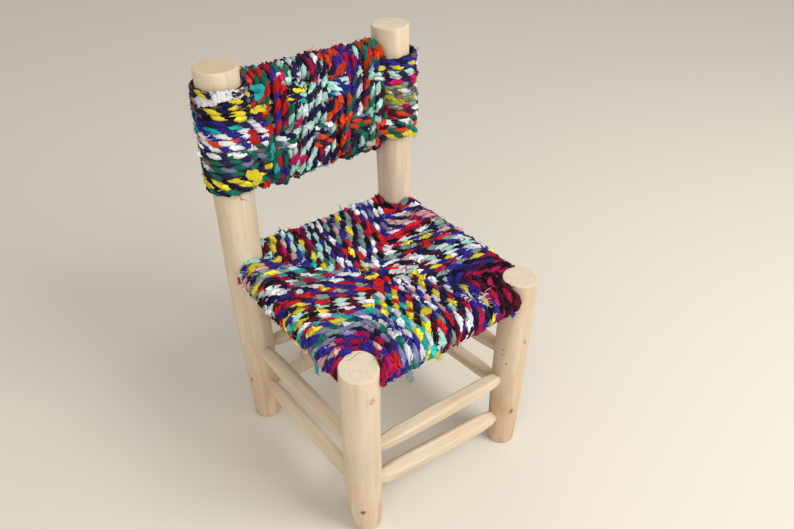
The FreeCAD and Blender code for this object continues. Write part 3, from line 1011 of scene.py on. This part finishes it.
def stray(rng, line, step, every, size):
    """Move the points of a line by a smooth wander."""
    count = len(line)
    knots = int(count * step / every) + 4
    for axis in range(3):
        marks = [rng.gauss(0, size) for _ in range(knots)]
        wander = np.interp(np.linspace(0, knots - 1, count), np.arange(knots), marks)
        width = max(3, int(every / step * 0.8))
        padded = np.pad(wander, width, mode="edge")
        line[:, axis] += np.convolve(padded, np.ones(width) / width, "same")[width:-width]
    return line


def dye_ply(rng, line, step, pick, ply, other=None):
    """A colour word for each point of a ply: strips of rag end to end, ended early where the mix changes."""
    words, left, word = [], 0, None
    for at, point in enumerate(line):
        choices = pick(point[:3]).split(" | ")[ply].split()
        left -= 1
        if left < 0 or word not in choices or (other and word == other[at]):
            fresh = [c for c in choices if c != word and (other is None or c != other[at])]
            word = rng.choice(fresh or choices)
            left = int(rng.uniform(35, 140) / step)
        words.append(word)
    return words


def keep(mesh, label, form, field, values):
    """Store one value for each point of a mesh."""
    mesh.attributes.new(label, form, "POINT").data.foreach_set(field, np.array(values, np.float32).ravel())


def strip_colours(rng, dyes, words):
    """The colours of a ply, each strip of rag a little lighter or darker than the next."""
    colours, last, wash = [], None, 1.0
    for word in words:
        if word != last:
            wash = rng.uniform(0.86, 1.14)
            last = word
        colours.append((*(min(1.0, c * wash) for c in getattr(dyes, word)), 1.0))
    return colours


def dyed_rope(line, seed, dyes, step, pick, plump):
    """A rope's points with all they carry: place, outward side, both plies' colours, fullness and reach."""
    rng = random.Random(seed)
    one = dye_ply(rng, line, step, pick, 0)
    two = dye_ply(rng, line, step, pick, 1, one)
    outward = line[:, 3:] / np.linalg.norm(line[:, 3:], axis=1)[:, None]
    full = [[plump(point[:3])] for point in line]
    runs = np.linalg.norm(np.diff(line[:, :3], axis=0), axis=1)
    reach = np.concatenate(([0.0], np.cumsum(runs)))[:, None] * MM
    colours = [strip_colours(rng, dyes, words) for words in (one, two)]
    return np.hstack((line[:, :3] * MM, outward, *colours, full, reach))


def route_mesh(name, ropes):
    """Ropes as lines of points in one mesh, with what the points carry as attributes."""
    every = np.vstack(ropes)
    edges, begin = [], 0
    for rope in ropes:
        edges.extend((begin + at, begin + at + 1) for at in range(len(rope) - 1))
        begin += len(rope)
    mesh = bpy.data.meshes.new(name)
    mesh.from_pydata(every[:, :3].tolist(), edges, [])
    keep(mesh, "outward", "FLOAT_VECTOR", "vector", every[:, 3:6])
    keep(mesh, "dye_0", "FLOAT_COLOR", "color", every[:, 6:10])
    keep(mesh, "dye_1", "FLOAT_COLOR", "color", every[:, 10:14])
    keep(mesh, "full", "FLOAT", "value", every[:, 14])
    keep(mesh, "reach", "FLOAT", "value", every[:, 15])
    return mesh


def start_tree(name, **inputs):
    """A new tree with its named inputs and one geometry output."""
    group = bpy.data.node_groups.new(name, "GeometryNodeTree")
    for label, kind in inputs.items():
        words = label.replace("_", " ")
        group.interface.new_socket(name=words, in_out="INPUT", socket_type="NodeSocket" + kind)
    group.interface.new_socket(name="Made", in_out="OUTPUT", socket_type="NodeSocketGeometry")
    board = Board(group)
    return group, board, board.add("NodeGroupInput")


def rope_ply(board, given, lines, ply):
    """One ply wound round the lines and swept, with its dyes and its own measure along the rope."""
    across = given.output("Across")
    reach, outward = board.named("reach"), board.named("outward", "FLOAT_VECTOR")
    slack = board.add(
        "ShaderNodeTexNoise",
        {"noise_dimensions": "1D"},
        {"W": reach + ply * 3.7, "Scale": 24.0, "Detail": 1.0},
    )
    turn = reach * FULL_TURN / given.output("Lay") + (slack - 0.5) * 1.6 + ply * math.pi
    sideways = board.add("GeometryNodeInputTangent").vector("CROSS_PRODUCT", outward)
    lean = outward.scaled(turn.math("COSINE")).moved(sideways.scaled(turn.math("SINE")))
    twisted = board.shifted(lines, Offset=lean.scaled(across * 0.17))
    held = board.capture(twisted, "Run", board.add("GeometryNodeInputTangent"))
    rim = board.capture(board.circle(given.output("Sides"), across * 0.36), "Rim", board.spot())
    made = board.sweep(held, rim, board.named("full") * (slack * 0.6 + 0.7))
    around = rim.output("Rim").scaled(1000.0)
    along = board.add("ShaderNodeCombineXYZ", {}, {"Z": reach * 1000.0 + ply * 5000.0})
    for label, form, value in (
        ("lay", "FLOAT_VECTOR", around.moved(along)),
        ("run", "FLOAT_VECTOR", held.output("Run")),
        ("dye", "FLOAT_COLOR", board.named(f"dye_{ply}", "FLOAT_COLOR")),
        ("under", "FLOAT_COLOR", board.named(f"dye_{1 - ply}", "FLOAT_COLOR")),
    ):
        made = board.store(made, label, form, value)
    return made


def pressed_rope(board, given, rope):
    """The plies pressed flat against each other, and crumpled like rag."""
    across = given.output("Across")
    full = board.named("full")
    lay, core, outward = (board.named(label, "FLOAT_VECTOR") for label in ("lay", "core", "outward"))
    arm = board.spot().vector("SUBTRACT", core)
    high = arm.vector("DOT_PRODUCT", outward, out="Value")
    # The rise above the core sets where the tears show and where the material paints shade in the grooves.
    risen = board.store(rope, "rise", "FLOAT", high / (across * 0.5))
    side = arm.vector("SUBTRACT", outward.scaled(high))
    wide = side.vector("LENGTH", out="Value")
    deep, half = across * full * 0.42, across * full * 0.45
    flat = (high / deep).math("TANH") * deep
    spread = (wide * 1.35 / half).math("TANH") * half / (wide + 0.00001)
    pressed = board.shifted(risen, Position=core.moved(outward.scaled(flat)).moved(side.scaled(spread)))
    rim_angle = lay.part("Y").math("ARCTAN2", lay.part("X")) / FULL_TURN
    lumps = board.noise(lay.scaled((1.0, 1.0, 0.3)), 0.45, 3.0)
    lip = rim_angle + lay.part("Z") / 13.0 + lumps * 0.8
    height = (lip.math("FRACT") - 0.5) * 0.6 + (lumps - 0.5) * 2.2
    out = board.add("GeometryNodeInputNormal")
    return board.smooth(board.shifted(pressed, Offset=out.scaled(height * given.output("Crumple"))))


def thread_shape(board):
    """A loose thread of unit length, rising from its root."""
    line = board.add(
        "GeometryNodeCurveQuadraticBezier",
        {},
        {"Resolution": 3, "Start": (0.0, 0.0, -0.03), "Middle": (0.5, 0.3, 0.26), "End": (1.0, 0.0, 0.1)},
    )
    return board.sweep(line, board.circle(3, 0.026))


def flake_shape(board, long, wide, shift):
    """A torn edge of rag: a slip with ragged, curled ends."""
    slip = board.add(
        "GeometryNodeMeshCube",
        {},
        {"Size": (long, wide, 0.06), "Vertices X": 3, "Vertices Y": 2, "Vertices Z": 2},
    )
    spot = board.spot()
    ends = spot.part("X") * spot.part("X")
    ragged = board.noise(spot.moved((shift, 0.0, 0.0)), 4.0, 1.0) - 0.5
    skewed = board.noise(spot.moved((0.0, shift + 5.0, 0.0)), 3.0, 1.0) - 0.5
    curl = board.add(
        "ShaderNodeCombineXYZ",
        {},
        {"X": ragged * 0.7, "Y": skewed * 0.6 - spot.part("Y") * ends * 2.0, "Z": ends * 0.5 - 0.04},
    )
    return board.shifted(slip, Offset=curl)


def torn_edges(board, given, rope):
    """Threads and torn edges on the rope's outer side, laid along it."""
    run, rise = board.named("run", "FLOAT_VECTOR"), board.named("rise")
    kinds = (
        (thread_shape(board), "Fray", 1.0, 5, 1.3),
        (flake_shape(board, 1.0, 0.42, 0.0), "Flake", 0.5, 31, 0.45),
        (flake_shape(board, 0.8, 0.62, 9.0), "Flake", 0.5, 57, 0.7),
    )
    grown = []
    for shape, words, share, seed, sweep in kinds:
        roots = board.add(
            "GeometryNodeDistributePointsOnFaces",
            {"distribute_method": "RANDOM"},
            {
                "Mesh": rope,
                "Selection": rise > 0.1,
                "Density": given.output(f"{words} density") * share,
                "Seed": given.output("Seed") + seed,
            },
        )
        swing = board.add(
            "FunctionNodeRandomValue",
            {"data_type": "FLOAT_VECTOR"},
            {0: (-0.35, -0.3, -sweep), 1: (0.35, 0.12, sweep), "Seed": seed},
        )
        lean = board.add("FunctionNodeEulerToRotation", {}, {"Euler": swing})
        laid = board.add(
            "FunctionNodeAlignRotationToVector",
            {"axis": "X", "pivot_axis": "Z"},
            {"Rotation": roots.output("Rotation"), "Vector": run},
        )
        facing = board.add(
            "FunctionNodeRotateRotation", {"rotation_space": "LOCAL"}, {"Rotation": laid, "Rotate By": lean}
        )
        chance = board.add(
            "FunctionNodeRandomValue", {"data_type": "FLOAT"}, {2: 0.35, 3: 1.0, "Seed": seed + 4}, 1
        )
        size = given.output(f"{words} length") * chance * chance
        grown.append(
            board.add(
                "GeometryNodeInstanceOnPoints",
                {},
                {"Points": roots, "Instance": shape, "Rotation": facing, "Scale": size},
            )
        )
    return grown


def rope_tree():
    """Two plies twisted along each line, swept, pressed flat, crumpled like rag, and frayed."""
    group, board, given = start_tree(
        "Twisted rag rope",
        Routes="Geometry",
        Across="Float",
        Lay="Float",
        Crumple="Float",
        Sides="Int",
        Fray_length="Float",
        Fray_density="Float",
        Flake_length="Float",
        Flake_density="Float",
        Seed="Int",
        Rag="Material",
    )
    curves = board.add("GeometryNodeMeshToCurve", {}, {"Mesh": given.output("Routes")})
    lines = board.store(curves, "core", "FLOAT_VECTOR", board.spot())
    plies = [rope_ply(board, given, lines, ply) for ply in range(2)]
    rope = pressed_rope(board, given, board.join(plies))
    board.finish(board.join([rope, *torn_edges(board, given, rope)]), given.output("Rag"))
    return group


def loose_tree():
    """Threads and flat rag ends swept along short lines."""
    group, board, given = start_tree("Loose ends", Routes="Geometry", Crumple="Float", Rag="Material")
    curves = board.add("GeometryNodeMeshToCurve", {}, {"Mesh": given.output("Routes")})
    girth, flat, facing = board.named("girth"), board.named("flat"), board.named("facing", "FLOAT_VECTOR")
    turned = board.add("GeometryNodeSetCurveNormal", {"mode": "FREE"}, {"Curve": curves, "Normal": facing})
    swept = []
    for sides, thin, chosen in ((4, 1.0, flat < 0.5), (12, 0.1, flat > 0.5)):
        some = board.add(
            "GeometryNodeSeparateGeometry", {"domain": "POINT"}, {"Geometry": turned, "Selection": chosen}
        )
        pressed = board.add(
            "GeometryNodeTransform", {}, {"Geometry": board.circle(sides, 1.0), "Scale": (thin, 1.0, 1.0)}
        )
        swept.append(board.sweep(some, pressed, girth))
    spot = board.spot().scaled(1000.0)
    lumps = board.noise(spot, 0.17, 1.0) - 0.5
    made = board.shifted(
        board.join(swept), Offset=facing.scaled(lumps * flat * given.output("Crumple") * 2.4)
    )
    made = board.store(made, "lay", "FLOAT_VECTOR", spot)
    # A fixed rise keeps the rag ends out of the painted groove shade.
    made = board.store(made, "rise", "FLOAT", 0.9)
    board.finish(board.smooth(made), given.output("Rag"))
    return group


def loose_routes(name, patches, tails, tufts, dyes, ropes, rng):
    """Short lines for the rag ends, and for threads that hang from them or stand in tufts on the rope."""
    places, edges, colours, girths, flats, facings = [], [], [], [], [], []
    graph = bpy.context.evaluated_depsgraph_get()
    skins = [BVHTree.FromObject(rope, graph) for rope in ropes]

    def seated(point, lift):
        """The nearest place on the rope, moved off its surface by a lift."""
        finds = [skin.find_nearest(point * MM) for skin in skins]
        spot, normal, _, _ = min(finds, key=lambda find: find[3])
        return spot / MM + normal * lift

    def add(line, widths, colour, flat, facing):
        edges.extend((len(places) + at, len(places) + at + 1) for at in range(len(line) - 1))
        places.extend(tuple(point * MM) for point in line)
        girths.extend(width * MM for width in widths)
        wash = rng.uniform(0.94, 1.12)
        colours.extend([(*(min(1.0, c * wash) for c in getattr(dyes, colour)), 1.0)] * len(line))
        flats.extend([flat] * len(line))
        facings.extend([facing] * len(line))

    def spread(size):
        return Vector(tuple(rng.gauss(0, size) for _ in range(3)))

    def thread(start, colour, reach, lean):
        way = (Vector(lean).normalized() + spread(0.4)).normalized()
        bend = spread(0.45)
        curl = bend.cross(way) * 0.3
        reach = min(reach, THREAD_LONGEST / (way + bend).length)
        line = []
        for share in np.linspace(0, 1, THREAD_STEPS + 1):
            sway = bend * share**2 + curl * math.sin(FULL_TURN * share)
            line.append(start + (way * share + sway) * reach)
        add(line, [THREAD_RADIUS] * THREAD_STEPS + [THREAD_TIP], colour, 0.0, UP)

    for number, (start, end, width, colour, facing) in enumerate((*patches, *tails)):
        start, end = Vector(start), Vector(end)
        count = max(6, round((end - start).length / 2.2))
        line, widths = [], []
        for at in range(count + 1):
            share = at / count
            point = start.lerp(end, share) + spread(0.35)
            hold = 1.0 - 0.4 * share if number < len(patches) else max(0.0, 1.0 - share * 2.2)
            line.append(point.lerp(seated(point, 0.7), hold))
            taper = min(1.0, 0.45 + share * 2.5, 0.3 + (1 - share) * 4)
            widths.append(width / 2 * taper * rng.uniform(0.86, 1.12))
        add(line, widths, colour, 1.0, facing)
        for _ in range(RAG_END_THREADS):
            thread(line[rng.randrange(count // 2, count)], colour, rng.uniform(4, 9), end - start)
    for place, count, reach, colour, lean in tufts:
        for _ in range(count):
            thread(seated(Vector(place) + spread(2.0), -0.4), colour, reach * rng.uniform(0.5, 1.0), lean)
    mesh = bpy.data.meshes.new(name)
    mesh.from_pydata(places, edges, [])
    keep(mesh, "dye", "FLOAT_COLOR", "color", colours)
    keep(mesh, "under", "FLOAT_COLOR", "color", colours)
    keep(mesh, "girth", "FLOAT", "value", girths)
    keep(mesh, "flat", "FLOAT", "value", flats)
    keep(mesh, "facing", "FLOAT_VECTOR", "vector", facings)
    return mesh


def grow(name, tree, routes, values):
    """Run a tree on a mesh of routes and keep what it makes as a plain mesh."""
    sockets = {item.name: item.identifier for item in tree.interface.items_tree if item.in_out == "INPUT"}
    maker = put_in_scene(name + "_routes", routes)
    modifier = maker.modifiers.new("Grow", "NODES")
    modifier.node_group = tree
    for label, value in values.items():
        modifier[sockets[label]] = value
    graph = bpy.context.evaluated_depsgraph_get()
    mesh = bpy.data.meshes.new_from_object(maker.evaluated_get(graph))
    mesh.name = name
    bpy.data.objects.remove(maker)
    for spare in ("dye_0", "dye_1", "full", "reach", "core", "outward", "run", "girth", "flat", "facing"):
        if spare in mesh.attributes:
            mesh.attributes.remove(mesh.attributes[spare])
    return put_in_scene(name, mesh)


def rope_values(sizes, across, lay, sides, material, seed):
    return {
        "Across": across,
        "Lay": lay,
        "Crumple": sizes.crumple,
        "Sides": sides,
        "Fray length": sizes.fray_length,
        "Fray density": sizes.fray_density,
        "Flake length": sizes.flake_length,
        "Flake density": sizes.flake_density,
        "Seed": seed,
        "Rag": material,
    }


def seat_corner_route(corner, across, rng):
    """One rope, turn after turn round the two rails at a corner, from the post to the seat's middle."""
    sign_x, sign_y = corner
    pole = next(p for p, sizes in POLES.items() if sizes[0] == corner)
    post_radius = POLES[pole][3] / 2
    wrap = RAIL_RADIUS + across * 0.4
    low = RAIL_HEIGHT - wrap
    top = RAIL_HEIGHT + wrap
    points = []

    def put(a, b, z, out_a=0.0, out_b=0.0, out_z=1.0):
        x = sign_x * (SEAT_HALF_WIDTH - a)
        y = SEAT_FRONT + b if sign_y < 0 else SEAT_REAR - b
        points.append((x, y, z, -sign_x * out_a, -sign_y * out_b, out_z))

    def inset(turn, half):
        return post_radius + (turn + 0.5) * (half - post_radius) / SEAT_TURNS

    def crown(inward):
        inward = max(0.0, inward)
        return top - SEAT_DISH * inward / SEAT_HALF_DEPTH + heap * math.exp(-inward / HEAP_REACH)

    for turn in range(SEAT_TURNS):
        a, b = inset(turn, SEAT_HALF_WIDTH), inset(turn, SEAT_HALF_DEPTH)
        next_b = inset(min(turn + 1, SEAT_TURNS - 1), SEAT_HALF_DEPTH)
        rounding = min(a, max(TURN_ROUND_LEAST, TURN_ROUND - TURN_ROUND_LESS * turn))
        hug = SEAT_HUGS[corner] * math.exp(-turn / HUG_TURNS)
        heap = SEAT_HEAPS[corner] * math.exp(-turn / HEAP_TURNS)
        bulges = [wrap + rng.uniform(0.0, TURN_BULGE) for _ in range(2)]
        put(a, b, low, out_z=-1.0)
        put(a, 0, low, out_z=-1.0)
        for lift in range(-80, 90, 10):
            up, out = math.sin(math.radians(lift)), math.cos(math.radians(lift))
            put(a - hug * out, -bulges[0] * out, RAIL_HEIGHT + wrap * up + heap * max(0.0, up), 0.0, -out, up)
        for share in np.linspace(0, 1, 9):
            inward = share * (b - rounding)
            put(a, inward, crown(inward))
        for share in np.linspace(0.12, 0.88, 7):
            near, gone = rounding * (1 - share) ** 2, rounding * share**2
            put(a - gone, b - near, crown(b - (near + gone) / 2))
        for share in np.linspace(0, 1, 9):
            inward = (1 - share) * (a - rounding)
            put(inward, b, crown(inward))
        for lift in range(80, -90, -10):
            up, out = math.sin(math.radians(lift)), math.cos(math.radians(lift))
            put(-bulges[1] * out, b - hug * out, RAIL_HEIGHT + wrap * up + heap * max(0.0, up), -out, 0.0, up)
        put(0, b, low, out_z=-1.0)
        put(a * 0.5, (b + next_b) / 2, low, out_z=-1.0)
    return points


def seat_mix(place):
    """The rags that show at a place on the seat."""
    x, y, _ = place
    corner = (-1 if x < 0 else 1, -1 if y < SEAT_MIDDLE else 1)
    a = SEAT_HALF_WIDTH - abs(x)
    b = SEAT_HALF_DEPTH - abs(y - SEAT_MIDDLE)
    share = (max(a, b) - 24) / (SEAT_HALF_WIDTH - 24)
    turn = min(SEAT_TURNS - 1, max(0, int(share * SEAT_TURNS)))
    return SEAT_MIXES[corner][turn]


def seat_fullness(place):
    """Rope swells where it turns on the diagonals."""
    x, y, _ = place
    a = SEAT_HALF_WIDTH - abs(x)
    b = SEAT_HALF_DEPTH - abs(y - SEAT_MIDDLE)
    if min(a, b) < 8:
        return 1.0
    return 1.0 + 0.36 * math.exp(-(((a - b * SEAT_HALF_WIDTH / SEAT_HALF_DEPTH) / 11.0) ** 2))


def seat_sector(point):
    """The side of the seat that a point lies on, inside the diagonals."""
    across, along = point[0] / SEAT_HALF_WIDTH, (point[1] - SEAT_MIDDLE) / SEAT_HALF_DEPTH
    if abs(across) > abs(along):
        return "left" if across < 0 else "right"
    return "front" if along < 0 else "rear"


def part_by_sector(line, rope, lengths):
    """Share a rope out to the sides of the seat, parting it where it crosses a diagonal."""
    sides = [seat_sector(point) for point in line]
    begin = 0
    for at in range(1, len(line) + 1):
        if at == len(line) or sides[at] != sides[begin]:
            if at - begin > 1:
                lengths[sides[begin]].append(rope[begin : min(at + 1, len(line))])
            begin = at


class CHAIR_OT_seat(bpy.types.Operator):
    """Weave the seat: ropes turned round each corner, in the four triangles that they make"""

    bl_idname = "rag_chair.seat"
    bl_label = "Seat rope"

    def execute(self, context):
        sizes, dyes = context.scene.chair_rope, context.scene.chair_dyes
        step = sizes.step / MM
        material = rag_material("seat_rag", PAINTED_LIT_RAG)
        tree = rope_tree()
        lengths = {"front": [], "right": [], "rear": [], "left": []}
        for number, corner in enumerate(SEAT_MIXES):
            rng = random.Random(310 + number)
            line = even(seat_corner_route(corner, sizes.seat_across / MM, rng), step)
            line = stray(rng, line, step, 22.0, sizes.wander / MM)
            part_by_sector(line, dyed_rope(line, 500 + number, dyes, step, seat_mix, seat_fullness), lengths)
        woven = []
        for number, (side, ropes) in enumerate(lengths.items()):
            values = rope_values(sizes, sizes.seat_across, sizes.lay, 9, material, 20 + number)
            piece = grow(f"seat_rope_{side}_woven", tree, route_mesh(f"seat_{side}_route", ropes), values)
            stand_for(piece, "seat_rag_rope", f"seat_rope_{side}")
            woven.append(piece)
        routes = loose_routes(
            "seat_loose_routes", SEAT_PATCHES, SEAT_TAILS, SEAT_TUFTS, dyes, woven, random.Random(77)
        )
        loose = grow("seat_loose_ends", loose_tree(), routes, {"Crumple": sizes.crumple, "Rag": material})
        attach(loose, "root")
        return {"FINISHED"}


def rows_over(x, z):
    """How far the rows are over the uprights at a place on the panel: 0 under, 1 over."""
    best = 0.0
    for left, right, low, high in WINDOWS:
        depth = min(x - left, right - x, z - low, high - z)
        best = max(best, min(1.0, max(0.0, 0.5 + depth / 8.0)))
    return best * best * (3 - 2 * best)


def post_at(side, z):
    return pole_axis("rear_left_post" if side < 0 else "rear_right_post", z)


def courses_route():
    """One rope wound round both posts from the bottom row to the top one, dipping in between them."""
    points = []
    pitch = (COURSES_HIGH - COURSES_LOW) / (COURSES - 1)

    def level(row, x):
        """The bottom row is level, and the top one falls to the right."""
        return COURSES_LOW + row * pitch - COURSES_FALL * row / (COURSES - 1) * x / POST_SPAN

    def depth_at(x, z, front):
        flat = COURSE_DEPTH + (UPRIGHT_DEPTH - COURSE_DEPTH) * rows_over(x if front else -x, z)
        inward = abs(post_at(-1, z).x) - abs(x)
        leave = POST_WRAP * math.sqrt(0.5)
        wrap = math.sqrt(max(0.0, POST_WRAP**2 - inward**2)) if inward < leave else 2 * leave - inward
        return max(flat, wrap)

    def run(xs, row, share, facing):
        for at, x in enumerate(xs):
            z = level(row + share * at / (len(xs) - 1), x)
            y = (post_at(-1, z).y + post_at(1, z).y) / 2
            points.append((x, y + facing * depth_at(x, z, facing < 0), z, 0.0, facing, 0.0))

    def round_post(side, turns, row):
        for turn in turns:
            angle = math.radians(turn)
            z = level(row, side * POST_SPAN / 2)
            post = post_at(side, z)
            out = (math.cos(angle), math.sin(angle), 0.0)
            points.append((post.x + POST_WRAP * out[0], post.y + POST_WRAP * out[1], z, *out))

    run(np.arange(70, -128, -3.0), -0.1, 0.1, 1.0)
    for row in range(COURSES):
        round_post(-1, range(100, 270, 10), max(0.0, row - 0.05))
        run(np.arange(-127, 128, 3.0), row, 0.0, -1.0)
        round_post(1, range(-80, 90, 10), row + 0.05)
        last = row == COURSES - 1
        run(np.arange(127, 40 if last else -128, -3.0), row + 0.1, 0.0 if last else 0.8, 1.0)
    return points


def uprights_route():
    """One rope wound over the top rail and under the bottom one, across the panel."""
    points = []
    pitch = 2 * UPRIGHT_REACH / (UPRIGHTS - 1)

    def put(x, depth, z, out_y, out_z):
        y = (post_at(-1, z).y + post_at(1, z).y) / 2
        points.append((x, y + depth, z, 0.0, out_y, out_z))

    def depth_at(x, z, front):
        return UPRIGHT_DEPTH - (UPRIGHT_DEPTH - COURSE_DEPTH) * rows_over(x if front else -x, z)

    for upright in range(UPRIGHTS):
        x = -UPRIGHT_REACH + upright * pitch
        lean = 1.5 + 7.5 * math.exp(-(((x + 12.0) / 42.0) ** 2)) + 2.0 * math.sin(upright * 2.3)
        lean *= min(1.0, (UPRIGHT_REACH + 4.0 - abs(x)) / 20.0)
        top = UPRIGHT_TOP - 4.0 * (x + 95) / 190
        bottom = UPRIGHT_BOTTOM + 2.5 * math.sin(upright * 1.7)
        middle = (top + bottom) / 2
        half = middle - bottom
        for z in np.arange(bottom + UPRIGHT_ROUND, top - UPRIGHT_ROUND, 3.0):
            shift = x + lean * math.sin((z - middle) / half * math.pi / 2)
            put(shift, -depth_at(shift, z, True), z, -1.0, 0.0)
        for turn in range(180, -1, -15):
            out, up = math.cos(math.radians(turn)), math.sin(math.radians(turn))
            z = top - UPRIGHT_ROUND + UPRIGHT_ROUND * up
            put(x + lean + pitch * 0.1, UPRIGHT_DEPTH * out, z, out, up)
        for z in np.arange(top - UPRIGHT_ROUND, bottom + UPRIGHT_ROUND, -3.0):
            share = (top - z) / (top - bottom)
            drift = pitch * (0.1 + 0.8 * share) + lean * (1 - 2 * share)
            put(x + drift, depth_at(x + drift, z, False), z, 1.0, 0.0)
        if upright == UPRIGHTS - 1:
            break
        for turn in range(0, -181, -15):
            out, up = math.cos(math.radians(turn)), math.sin(math.radians(turn))
            z = bottom + UPRIGHT_ROUND + UPRIGHT_ROUND * up
            put(x - lean + pitch * 0.95, UPRIGHT_DEPTH * out, z, out, up)
    return points


def pick_by(value, mixes):
    for limit, words in mixes:
        if value <= limit:
            return words
    return mixes[-1][1]


def course_mix(place):
    x, _, z = place
    if x < LEFT_WRAP_END:
        return pick_by(z, LEFT_WRAP_MIXES)
    if x > RIGHT_WRAP_START:
        return pick_by(z, RIGHT_WRAP_MIXES)
    return pick_by(z, PANEL_ROW_MIXES)


def upright_mix(place):
    share = (place[0] + UPRIGHT_REACH) / (2 * UPRIGHT_REACH)
    number = min(UPRIGHTS - 1, max(0, round(share * (UPRIGHTS - 1))))
    if number > TOP_RIGHT_FROM and place[2] > TOP_RIGHT_ABOVE:
        return TOP_RIGHT_MIX
    return UPRIGHT_MIXES[number]


class CHAIR_OT_back(bpy.types.Operator):
    """Wind the back's rows round the posts and weave the uprights through them"""

    bl_idname = "rag_chair.back"
    bl_label = "Back rope"

    def execute(self, context):
        sizes, dyes = context.scene.chair_rope, context.scene.chair_dyes
        step = sizes.back_step / MM
        tree = rope_tree()
        jobs = (
            # The last value is the painted light: the rows are painted lit, the uprights painted in shade.
            ("back_rope_courses", courses_route(), course_mix, 7, 0.52, 71, PAINTED_LIT_RAG),
            ("back_rope_uprights", uprights_route(), upright_mix, 9, 1.0, 83, PAINTED_SHADE_RAG),
        )
        woven = []
        for node, route, pick, sides, torn, seed, lift in jobs:
            material = rag_material(node + "_rag", lift)
            rng = random.Random(seed)
            line = stray(rng, even(route, step), step, 24.0, sizes.back_wander / MM)
            rope = dyed_rope(line, seed, dyes, step, pick, lambda place: 1.0)
            values = rope_values(sizes, sizes.back_across, sizes.back_lay, sides, material, seed)
            values["Fray density"] *= torn
            values["Flake density"] *= torn
            piece = grow(node + "_woven", tree, route_mesh(node + "_route", [rope]), values)
            stand_for(piece, "back_rag_rope", node)
            woven.append(piece)
        routes = loose_routes(
            "back_loose_routes", BACK_PATCHES, BACK_TAILS, BACK_TUFTS, dyes, woven, random.Random(78)
        )
        material = rag_material("back_loose_rag", PAINTED_LIT_RAG)
        loose = grow("back_loose_ends", loose_tree(), routes, {"Crumple": sizes.crumple, "Rag": material})
        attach(loose, "root")
        return {"FINISHED"}


class CHAIR_OT_stage(bpy.types.Operator):
    """Set the pale floor, the soft lights and the camera"""

    bl_idname = "rag_chair.stage"
    bl_label = "Stage"

    def execute(self, context):
        scene = context.scene
        mesh = bpy.data.meshes.new("floor")
        corners = ((-1, -1), (1, -1), (1, 1), (-1, 1))
        mesh.from_pydata([(x * FLOOR_REACH, y * FLOOR_REACH, 0) for x, y in corners], [], [(0, 1, 2, 3)])
        floor = put_in_scene("floor", mesh)
        material, board = start_material("pale_floor")
        surface = board.add(
            "ShaderNodeBsdfPrincipled", {}, {"Base Color": (0.72, 0.67, 0.58, 1.0), "Roughness": 0.9}
        )
        board.add("ShaderNodeOutputMaterial", {}, {"Surface": surface})
        floor.data.materials.append(material)
        for label, place, size, power in LAMPS:
            lamp = bpy.data.lights.new(label, "AREA")
            lamp.size = size
            lamp.energy = power
            lit = bpy.data.objects.new(label, lamp)
            lit.location = place
            lit.rotation_euler = (LIT_PLACE - Vector(place)).to_track_quat("-Z", "Y").to_euler()
            scene.collection.objects.link(lit)
        world = bpy.data.worlds.new("soft_room")
        world.use_nodes = True
        background = world.node_tree.nodes["Background"]
        background.inputs["Color"].default_value = (1.0, 0.98, 0.95, 1.0)
        background.inputs["Strength"].default_value = 0.6
        scene.world = world
        scene.view_settings.view_transform = "Standard"
        lens = bpy.data.cameras.new("camera")
        lens.sensor_fit = "HORIZONTAL"
        lens.sensor_width = CAMERA_SENSOR
        lens.lens = CAMERA_LENS
        camera = bpy.data.objects.new("camera", lens)
        camera.location = CAMERA_PLACE
        camera.rotation_euler = (CAMERA_AIM - CAMERA_PLACE).to_track_quat("-Z", "Y").to_euler()
        scene.collection.objects.link(camera)
        scene.camera = camera
        return {"FINISHED"}


STEPS = (CHAIR_OT_poles, CHAIR_OT_sticks, CHAIR_OT_seat, CHAIR_OT_back, CHAIR_OT_stage)


class CHAIR_PT_panel(bpy.types.Panel):
    """The chair's steps and sizes"""

    bl_idname = "CHAIR_PT_panel"
    bl_label = "Rag Rope Chair"
    bl_space_type = "VIEW_3D"
    bl_region_type = "UI"
    bl_category = "Rag Chair"

    def draw(self, context):
        for step in STEPS:
            self.layout.operator(step.bl_idname)
        for group in (context.scene.chair_rope, context.scene.chair_wood, context.scene.chair_dyes):
            box = self.layout.box()
            for name in group.bl_rna.properties.keys():
                if name not in ("rna_type", "name"):
                    box.prop(group, name)


CLASSES = (RagDyes, RopeSizes, WoodLooks, *STEPS, CHAIR_PT_panel)


def register():
    for item in CLASSES:
        bpy.utils.register_class(item)
    bpy.types.Scene.chair_dyes = bpy.props.PointerProperty(type=RagDyes)
    bpy.types.Scene.chair_rope = bpy.props.PointerProperty(type=RopeSizes)
    bpy.types.Scene.chair_wood = bpy.props.PointerProperty(type=WoodLooks)


def unregister():
    for name in ("chair_dyes", "chair_rope", "chair_wood"):
        delattr(bpy.types.Scene, name)
    for item in reversed(CLASSES):
        bpy.utils.unregister_class(item)


def main():
    register()
    bpy.ops.rag_chair.poles()
    bpy.ops.rag_chair.sticks()
    bpy.ops.rag_chair.seat()
    bpy.ops.rag_chair.back()
    bpy.ops.rag_chair.stage()


if __name__ == "__main__":
    main()
